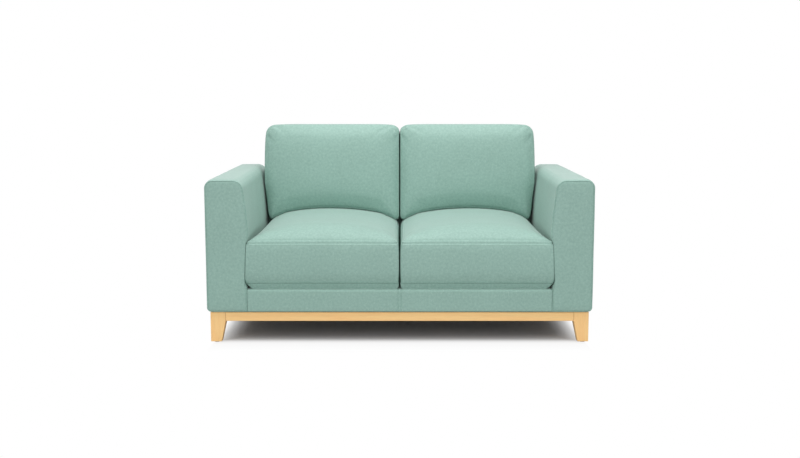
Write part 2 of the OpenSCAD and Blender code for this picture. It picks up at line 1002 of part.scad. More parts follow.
// The outer side follows the arm's inner face, stands over the arm and comes in again at the top
function back_side_in(p) = let (
    rise = p.y + back_half_h,
    z = back_foot_z + rise * cos(back_lean) + p.z * sin(back_lean),
    top_share = pow(min(1, max(0, rise / back_cushion_h)), top_in_power)
) max(0, back_x0 + cushion_gap - arm_face_x(max(z, back_foot_z))) + back_top_in * top_share;
function fitted(p) = [p.x + back_side_in(p) * (back_half_w - p.x) / (2 * back_half_w), p.y, p.z];

module back_loft(t) {
    a = back_half_w - t;
    b = back_half_h - t;
    sides = [
        [t, back_draw], [back_cushion_t / 4, back_draw / 4], [back_cushion_t / 2, 0],
        [back_cushion_t * 3 / 4, back_draw / 4], [back_cushion_t - t, back_draw]
    ];
    rings = concat(
        [for (side = sides)
            [for (p = ring(a - side.y, b - side.y, back_corner_r - t, back_pull)) [p.x, p.y, side.x]]],
        crown_rings(
            a - back_draw, b - back_draw, back_corner_r - t, back_pull, [0, 0], back_cushion_t - t, back_crown
        )
    );
    on_back_plane(back_foot_z, -soft_gap)
        translate([-middle_gap / 2 - back_half_w, back_half_h, 0])
            loft(
                [for (r = rings) [for (p = r) fitted(p)]],
                [0, 0, t], [0, 0, back_cushion_t - t + back_crown]
            );
}

// The bottom of a back cushion is pressed to the crown of the seat cushion
module back_form(t) {
    difference() {
        back_loft(t);
        seat_crown_form(-cushion_gap - t);
    }
}

module back_zip_slot() {
    on_back_plane(back_foot_z, -soft_gap)
        translate([-middle_gap / 2 - back_half_w - zip_l / 2, zip_rise, -over])
            cube([zip_l, zip_w, 2 * over + cover_t]);
}

module back_cushion_cover() {
    color(cover_colour)
        difference() {
            back_form(0);
            back_form(cover_t);
            back_zip_slot();
        }
}

module back_cushion_core() {
    color(foam_colour)
        back_form(cover_t + soft_gap);
}

module left_seat_cushion_cover() {
    seat_cushion_cover();
}

module left_seat_cushion_core() {
    seat_cushion_core();
}

module right_seat_cushion_cover() {
    left() seat_cushion_cover();
}

module right_seat_cushion_core() {
    left() seat_cushion_core();
}

module left_back_cushion_cover() {
    back_cushion_cover();
}

module left_back_cushion_core() {
    back_cushion_core();
}

module right_back_cushion_cover() {
    left() back_cushion_cover();
}

module right_back_cushion_core() {
    left() back_cushion_core();
}

front_left_leg();
front_right_leg();
rear_left_leg();
rear_right_leg();
foot_glides();
front_plinth_rail();
rear_plinth_rail();
left_plinth_rail();
right_plinth_rail();
plinth_corner_blocks();
base_bolts();
dust_cover();
front_seat_rail();
rear_seat_rail();
left_seat_rail();
right_seat_rail();
centre_seat_rail();
seat_corner_blocks();
seat_webbing_long();
seat_webbing_cross();
arm_bolts();
front_rail_pad();
front_rail_cover();
deck_pad();
deck_cloth();
left_arm_posts();
left_arm_top_rail();
left_arm_sill();
left_arm_ledger();
left_arm_outer_panel();
left_arm_inner_panel();
left_arm_foam();
left_arm_cover();
left_arm_facing();
right_arm_posts();
right_arm_top_rail();
right_arm_sill();
right_arm_ledger();
right_arm_outer_panel();
right_arm_inner_panel();
right_arm_foam();
right_arm_cover();
right_arm_facing();
back_uprights();
back_top_rail();
back_bottom_rails();
back_webbing();
inner_back_pad();
inner_back_cover();
outer_back_board();
outer_back_cover();
left_seat_cushion_cover();
left_seat_cushion_core();
right_seat_cushion_cover();
right_seat_cushion_core();
left_back_cushion_cover();
left_back_cushion_core();
right_back_cushion_cover();
right_back_cushion_core();
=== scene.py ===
"""Looks of a low-armed two-seat sofa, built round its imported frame.

Metres. -Y is the front, +X is to the right seen from the front, +Z is up.
"""

import math

import bpy
import numpy as np
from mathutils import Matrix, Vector, noise
from mathutils.bvhtree import BVHTree


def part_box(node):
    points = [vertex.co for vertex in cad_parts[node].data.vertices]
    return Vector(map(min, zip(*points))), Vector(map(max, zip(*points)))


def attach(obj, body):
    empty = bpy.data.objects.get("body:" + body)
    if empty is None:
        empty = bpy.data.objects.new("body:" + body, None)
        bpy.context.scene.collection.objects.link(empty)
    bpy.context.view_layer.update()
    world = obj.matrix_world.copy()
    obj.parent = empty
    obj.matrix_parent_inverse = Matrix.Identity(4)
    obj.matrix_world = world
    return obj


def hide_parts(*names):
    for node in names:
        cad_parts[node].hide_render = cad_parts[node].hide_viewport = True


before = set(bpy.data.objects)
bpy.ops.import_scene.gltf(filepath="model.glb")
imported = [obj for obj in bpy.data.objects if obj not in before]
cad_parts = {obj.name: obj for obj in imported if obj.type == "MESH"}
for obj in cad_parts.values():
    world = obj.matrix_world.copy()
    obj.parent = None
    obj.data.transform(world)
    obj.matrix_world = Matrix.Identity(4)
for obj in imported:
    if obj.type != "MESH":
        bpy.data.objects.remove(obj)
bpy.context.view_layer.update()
scene = bpy.context.scene

MM = 0.001

# Planes and places read from the frame; gaps make the shadow lines above the plinth and at the rear
SHADOW_GAP = 2.5 * MM
PANEL_GAP = 1.6 * MM
back_cover_low, back_cover_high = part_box("outer_back_cover")
HALF_W = back_cover_high.x
HALF_D = back_cover_high.y
ARM_H = back_cover_high.z
REAR_Y = HALF_D - PANEL_GAP
BODY_Z = back_cover_low.z + SHADOW_GAP
BACK_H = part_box("inner_back_cover")[1].z
ARM_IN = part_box("right_seat_rail")[1].x
DECK_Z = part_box("deck_cloth")[1].z
SEAT_LOW, SEAT_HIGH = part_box("left_seat_cushion_cover")
SEAT_MIDDLE_X = (SEAT_HIGH.x + SEAT_LOW.x) / 2

# Arms
ARM_SWELL_FRONT = 12 * MM
ARM_SWELL_REAR = 3 * MM
ARM_LEAN_FRONT = 8 * MM
ARM_LEAN_REAR = 19 * MM
ARM_TWIST_LENGTH = 650 * MM
ARM_OUTER_R = 34 * MM
ARM_INNER_R = 44 * MM
ARM_BOTTOM_R = 17 * MM
ARM_FRONT_R = 5 * MM
ARM_REAR_R = 9 * MM
ARM_TOP_CROWN = 4 * MM
ARM_TOP_ROLL = 16 * MM
ARM_CROWN_OVER = 60 * MM
ARM_WAVE = 0.8 * MM
ARM_WAVE_SCALE = 9
ARM_DENT = 13 * MM
ARM_DENT_REACH = 300 * MM
PRESSED_EDGE = 0.25
PRESSED_LOW = (-4 * MM, 36 * MM)
PRESSED_HIGH = (-8 * MM, 34 * MM)
FACING_PILLOW = 2 * MM

# Seams
SEAM_DEPTH = 2.2 * MM
SEAM_HALF_W = 2.6 * MM
STITCH_GROOVE = 1.5 * MM
STITCH_LENGTH = 4.2 * MM
STITCH_STEP = 6 * MM
THREAD_R = 0.45 * MM

# Front rail
RAIL_TOP_R = 9 * MM
RAIL_BOTTOM_R = 7 * MM
RAIL_RETURN = 70 * MM
RAIL_STITCH_X = 5.04 * MM
# Its raised band: distances from the middle and insets there, in millimetres
RAIL_BAND = {0: -0.5, 3: -0.5, 5.6: -0.3, 6.4: 0.6, 7: 1.2, 7.6: 0.6, 8.6: 0, 12: 0}

# Deck, inner back and outer back
DECK_GRID = (60, 30)
DECK_SAG = 2 * MM
BACK_LEAN = math.radians(8)
LEAN_SIN, LEAN_COS = math.sin(BACK_LEAN), math.cos(BACK_LEAN)
BACK_Y = HALF_D - 158 * MM
BACK_EDGE_R = 30 * MM
PANEL_PILLOW = 1.5 * MM

# Seat cushions
SOFT_GAP = 0.3 * MM
CUSHION_GAP = 0.6 * MM
SEAT_Z = DECK_Z + SOFT_GAP
SEAT_SEAM_H = 191 * MM
SEAT_LOW_SEAM_H = 25 * MM
SEAT_CROWN = 71 * MM
CROWN_BACK = 140 * MM
CROWN_SHIFT = 0.06
FRONT_RISE_SHARE = 0.88
FRONT_ROLL = 150 * MM
SEAM_GROOVE = 2.5 * MM
SEAM_INSET = 3 * MM
SEAT_TUCK = 9 * MM
LOW_TURN = 9 * MM
LOW_TURN_SHARE = 0.3
SEAT_LOW_DRAW = 3 * MM
SEAT_TOP_DRAW = 4 * MM
SEAT_CORNER_R = 9 * MM
SEAT_LOW_CORNER_R = 4 * MM
SEAT_BULGE = 2 * MM
CORNER_BULGE = 26 * MM
CORNER_BULGE_REACH = 200 * MM
BULGE_FORWARDS = 0.1
SIDE_PULL = 1.5 * MM

# Back cushions
BACK_FOOT_Z = SEAT_Z + SEAT_SEAM_H
BACK_CUSHION_H = 451 * MM
BACK_CUSHION_T = 118 * MM
BACK_CROWN = 32 * MM
BACK_DRAW = 7 * MM
BACK_ROUND = 0.1
BACK_BULGE = 2 * MM
BACK_CORNER_R = 44 * MM
BACK_LOW_CORNER_R = 32 * MM
BACK_PULL = 1 * MM
BACK_OVER_ARM = 7 * MM
BACK_TOP_IN = 10 * MM
BACK_TOP_IN_POWER = 6
ARM_CLEAR = 2 * MM
BESIDE_ARM = 11 * MM
PRESS = 1.5 * MM
PRESS_WAVE = 1.2 * MM
PRESS_LENGTH = 44 * MM
PRESS_DEPTH = 45 * MM
OPENING = 2.6 * MM

# Dust cloth
DUST_GRID = (48, 28)
DUST_RISE = 0.3 * MM

# Plinth joints
JOINT_W = 0.9 * MM
JOINT_PROUD = 0.2 * MM
JOINT_END = 1.5 * MM

# Zips
ZIP_L = 480 * MM
ZIP_W = 4 * MM
ZIP_RISE = 62 * MM
ZIP_DEPTH = 3 * MM
SEAT_ZIP_H = (SEAT_LOW_SEAM_H + SEAT_SEAM_H) / 2
TOOTH_STEP = 4 * MM
TAPE_PIECES = 24
# Outlines in millimetres along and across the zip, and the grid lines beside its middle
TOOTH = ((-0.7, -1.2), (0.7, -1.2), (0.9, 0), (0.7, 1.2), (-0.7, 1.2), (-0.9, 0))
SLIDER = ((-5, -1.2), (3, -1.9), (5, -1.2), (5, 1.2), (3, 1.9), (-5, 1.2))
ZIP_LINES = (-4, -2.2, 0, 2.2, 4)

# Grid of the cushions: distances in millimetres of the lines beside a seam, and the stitched line
EDGE_LINES = (0, 1, 3, 6, 8, 10, 16, 25, 36)
STITCH_LINE = 4
GRID_STEP = 13 * MM

# Cloth simulation of the cushions: how far the covers may swell and where they have spare cloth
FRAMES = 20
SEAT_PRESSURE = 2.5
BACK_PRESSURE = 2.0
SEAT_TOP_SWELL = 3.5 * MM
SEAT_SIDE_SWELL = 1 * MM
BACK_SWELL = 5 * MM
SEAT_SPARE_REACH = 45 * MM
SEAT_SPARE_SCALE = 14
BACK_SPARE_REACH = 40 * MM
BACK_SPARE_SCALE = 22
CLOTH = {
    "quality": 7, "mass": 0.25, "tension_stiffness": 22, "compression_stiffness": 22,
    "shear_stiffness": 8, "bending_stiffness": 0.6, "use_pressure": True,
    "vertex_group_mass": "pinned", "vertex_group_shrink": "loose", "shrink_min": 0, "shrink_max": -0.06
}

SIDES = {"left": -1, "right": 1}


# Mesh making

def new_object(name, data):
    obj = bpy.data.objects.new(name, data)
    scene.collection.objects.link(obj)
    return obj


def make_object(name, points, faces, material, smooth=True):
    """A mesh object from points and faces."""
    mesh = bpy.data.meshes.new(name)
    mesh.from_pydata([tuple(p) for p in points], [], faces)
    mesh.validate()
    mesh.update()
    if smooth:
        mesh.polygons.foreach_set("use_smooth", [True] * len(mesh.polygons))
    mesh.materials.append(material)
    return new_object(name, mesh)


def read_vectors(items, field):
    values = np.empty(len(items) * 3)
    items.foreach_get(field, values)
    return values.reshape(-1, 3)


def read_points(obj):
    return read_vectors(obj.data.vertices, "co")


def write_points(obj, points):
    obj.data.vertices.foreach_set("co", points.ravel())
    obj.data.update()


def read_normals(obj):
    return read_vectors(obj.data.vertex_normals, "vector")


def undulate(obj, amplitude, scale, seed):
    """Moves the surface along its normals by slow noise, as foam under cloth does."""
    points = read_points(obj)
    normals = read_normals(obj)
    offset = Vector((seed * 3.7, seed * 1.3, seed * 7.1))
    lift = np.array([noise.noise(Vector(p) * scale + offset) for p in points])
    write_points(obj, points + normals * (amplitude * lift)[:, None])


def subdivide(obj):
    """Applies one subdivision to an object."""
    modifier = obj.modifiers.new("subdivision", "SUBSURF")
    modifier.levels = 1
    depsgraph = bpy.context.evaluated_depsgraph_get()
    finer = bpy.data.meshes.new_from_object(obj.evaluated_get(depsgraph))
    obj.modifiers.remove(modifier)
    old, name = obj.data, obj.data.name
    obj.data = finer
    bpy.data.meshes.remove(old)
    finer.name = name


def arc(centre, radius, start, end, steps):
    """Points round an arc, angles in degrees."""
    angles = np.radians(np.linspace(start, end, steps + 1))
    return [(centre[0] + radius * math.cos(a), centre[1] + radius * math.sin(a)) for a in angles]


def straight(start, end, steps):
    """Points between two ends, without the ends."""
    return [tuple(a + (b - a) * i / steps for a, b in zip(start, end)) for i in range(1, steps)]


def flipped(faces):
    return [tuple(reversed(f)) for f in faces]


def ring_quads(low, high):
    """Quads between the indices of two closed rings."""
    count = len(low)
    return [(low[j], low[(j + 1) % count], high[(j + 1) % count], high[j]) for j in range(count)]


def lofted(rings):
    """Points and faces of a solid through closed rings of points that follow each other."""
    count = len(rings[0])
    ids = [range(i * count, (i + 1) * count) for i in range(len(rings))]
    faces = []
    for low, high in zip(ids, ids[1:]):
        faces += ring_quads(low, high)
    return [p for ring in rings for p in ring], faces + [tuple(reversed(ids[0])), tuple(ids[-1])]


def append_mesh(mesh, points, faces):
    """Adds points and faces to the two lists of a mesh."""
    start = len(mesh[0])
    mesh[0].extend(points)
    mesh[1].extend([tuple(start + k for k in f) for f in faces])


def rectangle(x, z, length, height):
    x0, x1, z0, z1 = x - length / 2, x + length / 2, z - height / 2, z + height / 2
    return [(x0, z0), (x1, z0), (x1, z1), (x0, z1)]


def unit_grid(columns, rows):
    """Places on the square from -1 to 1, row by row."""
    us = [2 * i / (columns - 1) - 1 for i in range(columns)]
    return [(u, 2 * j / (rows - 1) - 1) for j in range(rows) for u in us]


def sheet_faces(columns, rows):
    """Quads between rows of points."""
    starts = [i * columns + j for i in range(rows - 1) for j in range(columns - 1)]
    return [(k, k + 1, k + columns + 1, k + columns) for k in starts]


# Arms

def arm_lean(depth):
    """How far an arm's inner face leans outwards at its top, more towards the rear."""
    return ARM_LEAN_FRONT + (ARM_LEAN_REAR - ARM_LEAN_FRONT) * min(1, depth / ARM_TWIST_LENGTH)


def arm_face_x(z, depth=2 * HALF_D):
    """The inner face of an arm at a height and a distance from its front."""
    share = max(0, (z - SEAT_Z) / (ARM_H - ARM_INNER_R - SEAT_Z))
    swell = ARM_SWELL_FRONT + (ARM_SWELL_REAR - ARM_SWELL_FRONT) * min(1, depth / ARM_TWIST_LENGTH)
    return ARM_IN - swell * math.sin(math.pi * min(share, 1)) + arm_lean(depth) * share ** 3


def limited(share):
    return min(1, max(0, share))


def smooth(value, start, end):
    """Runs smoothly from 0 at start to 1 at end."""
    share = limited((value - start) / (end - start))
    return share * share * (3 - 2 * share)


def pressed(z):
    """How fully the seat cushion's corner presses on the arm at a height, from 0 to 1."""
    rise = z - SEAT_Z
    over = smooth(rise, *(SEAT_SEAM_H + distance for distance in PRESSED_HIGH))
    return smooth(rise, *PRESSED_LOW) * (1 - over)


def arm_dent(z, depth):
    """How far the seat cushion's corner presses the arm's padding outwards near the front."""
    return ARM_DENT * pressed(z) * math.exp(-((depth / ARM_DENT_REACH) ** 2))


# Middles of the rounds along an arm's outline, the inner one at the arm's rear
ARM_INNER_C = (ARM_IN + ARM_LEAN_REAR + ARM_INNER_R, ARM_H - ARM_INNER_R)
ARM_OUTER_C = (HALF_W - ARM_OUTER_R, ARM_H - ARM_OUTER_R)
ARM_BOTTOM_C = (HALF_W - ARM_BOTTOM_R, BODY_Z + ARM_BOTTOM_R)


def arm_outer_side(e):
    """The right arm's outer side seen from the front, upwards from below, inset by e."""
    bottom = arc(ARM_BOTTOM_C, ARM_BOTTOM_R - e, -90, 0, 8)
    outer = arc(ARM_OUTER_C, ARM_OUTER_R - e, 0, 90, 12)
    return bottom + straight(bottom[-1], outer[0], 32) + outer


def arm_outline(e, depth):
    """The right arm's outline at a depth, seen from the front, anticlockwise from its inner foot."""
    foot = (ARM_IN + e, BODY_Z + e)
    outer = arm_outer_side(e)
    centre = (ARM_IN + arm_lean(depth) + ARM_INNER_R, ARM_INNER_C[1])
    inner = arc(centre, ARM_INNER_R - e, 90, 172, 12)
    face = []
    for z in np.linspace(ARM_INNER_C[1] - 8 * MM, SEAT_Z, 34):
        edge = e * (1 - (1 - PRESSED_EDGE) * pressed(z))
        face.append((arm_face_x(z, depth) + arm_dent(z, depth) + edge, z))
    lift = ARM_TOP_CROWN * (1 - math.exp(-depth / ARM_TOP_ROLL)) * (1 - depth / (2 * HALF_D))
    crown_w = ARM_INNER_C[0] - ARM_CROWN_OVER - ARM_OUTER_C[0]
    upper = []
    for x, z in outer + straight(outer[-1], inner[0], 8) + inner:
        across = limited((x - ARM_OUTER_C[0]) / crown_w)
        upper.append((x, z + lift * math.cos(math.pi / 2 * across)))
    return [foot] + straight(foot, outer[0], 9) + upper + face + straight(face[-1], foot, 7)


def pillow_rings(outline, y, bulge, spine):
    """Rings that close an outline towards its middle and bulge; spine gives where each point goes."""
    rings = []
    for share in (0.97, 0.85, 0.7, 0.55, 0.4, 0.25, 0.12, 0.05):
        out = bulge * (1 - (1 - share) ** 4)
        ring = []
        for x, z in outline:
            to_x, to_z = spine(x, z)
            ring.append((x + (to_x - x) * share, y + out, z + (to_z - z) * share))
        rings.append(ring)
    return rings


def arm_mesh(side):
    """Points and faces of an upholstered arm, lofted from its facing to its rear."""
    front = -HALF_D

    def add(e, y):
        rings.append([(x, y, z) for x, z in arm_outline(e, y - front)])

    def spine(x, z):
        return (ARM_IN + HALF_W) / 2, min(max(z, BODY_Z + 70 * MM), ARM_H - 80 * MM)

    edge = arm_outline(ARM_FRONT_R + SEAM_HALF_W, 0)
    rings = pillow_rings(edge, front, -FACING_PILLOW, spine)
    add(ARM_FRONT_R + SEAM_HALF_W, front)
    add(ARM_FRONT_R + SEAM_HALF_W * 0.4, front + SEAM_DEPTH * 0.7)
    add(ARM_FRONT_R, front + SEAM_DEPTH)
    add(ARM_FRONT_R - SEAM_HALF_W * 0.5, front + SEAM_DEPTH * 0.5)
    for e, y in arc((ARM_FRONT_R, front + ARM_FRONT_R), ARM_FRONT_R, 252, 180, 7):
        add(e, y)
    for y in np.linspace(front + ARM_FRONT_R, REAR_Y - ARM_REAR_R, 62)[1:-1]:
        add(0, y)
    for e, y in arc((ARM_REAR_R, REAR_Y - ARM_REAR_R), ARM_REAR_R, 180, 90, 6):
        add(e, y)
    points, faces = lofted(rings)
    if side > 0:
        return points, flipped(faces)
    return [(-x, y, z) for x, y, z in points], faces


# Front rail, deck, inner back and outer back

def swept(name, rows, material):
    """A solid through rows of points that all follow the same side outline."""
    points, faces = lofted(rows)
    return make_object(name, points, flipped(faces), material)


def rail_path(e):
    """Side outline of the front rail's upholstery, inset by e; its rear is hidden."""
    front = -HALF_D + e
    under = front + 30 * MM
    low = arc((front + RAIL_BOTTOM_R, BODY_Z + RAIL_BOTTOM_R), RAIL_BOTTOM_R, 270, 180, 6)
    high = arc((-HALF_D + RAIL_TOP_R, DECK_Z - RAIL_TOP_R), RAIL_TOP_R - e, 180, 90, 10)
    deck_end = (-HALF_D + RAIL_RETURN, DECK_Z - e)
    inner_low = (-HALF_D + RAIL_RETURN, BODY_Z + 20 * MM)
    return (
        [(under, BODY_Z)] + low + straight(low[-1], high[0], 12) + high
        + straight(high[-1], deck_end, 8) + [deck_end, inner_low, (under, BODY_Z + 20 * MM)]
    )


def rail_rows():
    """The rail's side outline along its length, with a raised band between two seams in the middle."""
    half = ARM_IN - SOFT_GAP
    near = [(x * MM, e * MM) for x, e in RAIL_BAND.items()]
    far = [(x, 0) for x in np.linspace(24 * MM, half - 3 * MM, 50)]
    side = near + far + [(half - 1 * MM, 0.5 * MM), (half, 1.5 * MM)]
    columns = [(-x, e) for x, e in reversed(side[1:])] + side
    return [[(x, y, z) for y, z in rail_path(e)] for x, e in columns]


def back_face_y(z, e=0.0):
    """Where the inner back's leaning face is at a height, inset by e."""
    return BACK_Y + (z - DECK_Z) * math.tan(BACK_LEAN) + e / LEAN_COS


def back_path():
    """Side outline of the inner back: up its face, over the top and down inside the rear."""
    foot_z = DECK_Z - 14 * MM
    centre = (back_face_y(BACK_H - BACK_EDGE_R, BACK_EDGE_R), BACK_H - BACK_EDGE_R)
    lean = math.degrees(BACK_LEAN)
    edge = arc(centre, BACK_EDGE_R, 180 - lean, 90, 12)
    rear_edge = arc((REAR_Y - ARM_REAR_R, BACK_H - ARM_REAR_R), ARM_REAR_R, 90, 0, 6)
    foot = (back_face_y(foot_z), foot_z)
    return (
        [foot] + straight(foot, edge[0], 30) + edge + straight(edge[-1], rear_edge[0], 8) + rear_edge
        + [(REAR_Y, DECK_Z + 60 * MM), (REAR_Y - 40 * MM, foot_z)]
    )


def back_reach(z):
    """Half the width between the arms' rears at a height."""
    over = z - ARM_INNER_C[1]
    if over <= 0:
        return arm_face_x(max(z, SEAT_Z)) - SOFT_GAP
    return ARM_INNER_C[0] - math.sqrt(max(0, ARM_INNER_R ** 2 - over ** 2)) - SOFT_GAP


def deck_mesh():
    """Points and faces of the deck, whose middle sags a little."""
    low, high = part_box("deck_pad")
    points = []
    for u, v in unit_grid(*DECK_GRID):
        y = (low.y + high.y) / 2 + (high.y - low.y) / 2 * v
        points.append((high.x * u, y, DECK_Z - DECK_SAG * (1 - u ** 8) * (1 - v ** 8)))
    rim = ring_ids(*DECK_GRID)
    under = range(len(points), len(points) + len(rim))
    points += [(points[k][0], points[k][1], low.z) for k in rim]
    return points, sheet_faces(*DECK_GRID) + flipped(ring_quads(rim, under) + [tuple(under)])


def outer_back():
    """The outer back panel, blind-sewn along its edges; it steps down between the arms."""
    inset = ARM_REAR_R * 0.8

    def outline(e):
        meet = 180 - math.degrees(math.asin((BACK_H - e - ARM_INNER_C[1]) / (ARM_INNER_R - e)))
        inner = arc(ARM_INNER_C, ARM_INNER_R - e, 90, meet, 10)
        outer = arm_outer_side(e)
        side = outer + straight(outer[-1], inner[0], 5) + inner
        return side + [(-x, z) for x, z in reversed(side)]

    def spine(x, z):
        reach = HALF_W - 250 * MM
        return min(max(x, -reach), reach), (BODY_Z + BACK_H) / 2

    rings = []
    for e, depth in ((0, 2), (0, 1.2), (0.6, 0.4), (2.5, 0)):
        rings.append([(x, HALF_D - depth * MM, z) for x, z in outline(inset + e * MM)])
    rings += reversed(pillow_rings(outline(inset + 2.5 * MM), HALF_D, PANEL_PILLOW, spine))
    return swept("outer_back_panel", rings, cover)


# Cushions

def grid_lines(half):
    """Places from -1 to 1 across a half size, closer together beside both seams."""
    near = [half - d * MM for d in EDGE_LINES]
    count = math.ceil(2 * near[-1] / GRID_STEP)
    middle = list(np.linspace(-near[-1], near[-1], count + 1)[1:-1])
    return [x / half for x in [-n for n in near] + middle + near[::-1]]


def ring_ids(columns, rows, first=0):
    """Indices of the grid's points along the ring that starts in column first, anticlockwise."""
    last_i, last_j = columns - 1 - first, rows - 1 - first
    low = [first * columns + i for i in range(first, last_i)]
    right = [j * columns + last_i for j in range(first, last_j)]
    top = [last_j * columns + i for i in range(last_i, first, -1)]
    left = [j * columns + first for j in range(last_j, first, -1)]
    return low + right + top + left


def plan(u, v, a, b, r, pull, low_r=None):
    """A place of the unit square on a rounded rectangle with drawn-in sides; low_r is for v < 0."""
    x, y = u * a, v * b
    if low_r is not None and v < 0:
        r = low_r
    over_x, over_y = (abs(x) - (a - r)) / r, (abs(y) - (b - r)) / r
    if over_x > 0 and over_y > 0:
        x = math.copysign(a - r + r * over_x * math.sqrt(1 - over_y ** 2 / 2), x)
        y = math.copysign(b - r + r * over_y * math.sqrt(1 - over_x ** 2 / 2), y)
    p, q = x / a, y / b
    return x - pull * p * (1 - q * q), y - pull * q * (1 - p * p)


def dome(share, power, root):
    """Height of a crown at a share of the way from its peak to its seam."""
    return max(0, 1 - abs(share) ** power) ** root


def crossed(first, second):
    """Height of a crown from its two profiles, with full corners."""
    if min(first, second) <= 0:
        return 0
    return (first ** -2 + second ** -2 - 1) ** -0.5


def cushion_mesh(us, vs, rings, bottom, top):
    """A closed cushion from its bottom panel, the rings of its sides and its top panel.

    rings holds functions of a place on the unit square's edge; bottom and top are functions of a
    place inside it. The first ring is the edge of the bottom and the last that of the top.
    """
    columns, rows = len(us), len(vs)
    grid = [(u, v) for v in vs for u in us]
    rim = ring_ids(columns, rows)
    points = [bottom(u, v) for u, v in grid]
    faces = flipped(sheet_faces(columns, rows))
    previous = rim
    for ring in rings[1:-1]:
        current = range(len(points), len(points) + len(rim))
        points += [ring(*grid[k]) for k in rim]
        faces += ring_quads(previous, current)
        previous = current
    start = len(points)
    points += [top(u, v) for u, v in grid]
    faces += ring_quads(previous, [start + k for k in rim])
    faces += [tuple(start + k for k in f) for f in sheet_faces(columns, rows)]
    seam_ids = start + np.array(rim)
    stitch_ids = start + np.array(ring_ids(columns, rows, STITCH_LINE))
    return np.array(points), faces, seam_ids, stitch_ids


def inflate(obj, pinned, loose, pressure, limit):
    """Swells a closed cover by cloth simulation and keeps each point within its limit of its start.

    pinned and loose have a value for each point: pinned points stay, and loose ones have spare
    cloth. limit is one distance or a distance for each point.
    """
    start = read_points(obj)
    for name, weights in (("pinned", pinned), ("loose", loose)):
        group = obj.vertex_groups.new(name=name)
        for index, weight in enumerate(weights):
            if weight > 0:
                group.add([index], min(1, float(weight)), "REPLACE")
    modifier = obj.modifiers.new("cloth", "CLOTH")
    cloth = modifier.settings
    for key, value in CLOTH.items():
        setattr(cloth, key, value)
    cloth.uniform_pressure_force = pressure
    cloth.effector_weights.gravity = 0
    modifier.collision_settings.use_collision = False
    modifier.collision_settings.use_self_collision = False
    for number in range(1, FRAMES + 1):
        scene.frame_set(number)
    depsgraph = bpy.context.evaluated_depsgraph_get()
    swollen = read_points(obj.evaluated_get(depsgraph))
    obj.modifiers.remove(modifier)
    obj.vertex_groups.clear()
    scene.frame_set(1)
    move = swollen - start
    length = np.linalg.norm(move, axis=1)
    share = np.minimum(1, limit / np.maximum(length, 1e-9))
    write_points(obj, start + move * share[:, None])


def zip_strip(across, along):
    """Marks a zip's strip by distances across it from its line and along it from its middle."""
    return (np.abs(across) < ZIP_W / 2 + 0.5 * MM) & (np.abs(along) < ZIP_L / 2)


def height_in(tree, p, otherwise):
    """Height of a surface at a place, seen from above."""
    hit = tree.ray_cast(Vector((p[0], p[1], 1)), Vector((0, 0, -1)))[0]
    return hit.z if hit else otherwise


def tree_of(obj):
    """An object's faces, to find nearby or lower points on."""
    points = [v.co for v in obj.data.vertices]
    return BVHTree.FromPolygons(points, [tuple(f.vertices) for f in obj.data.polygons])


def groove(obj, ids, depth):
    """Draws a line of points in along their normals, where a row of stitches pulls the cloth."""
    points = read_points(obj)
    points[ids] -= depth * read_normals(obj)[ids]
    write_points(obj, points)


# Seat cushions

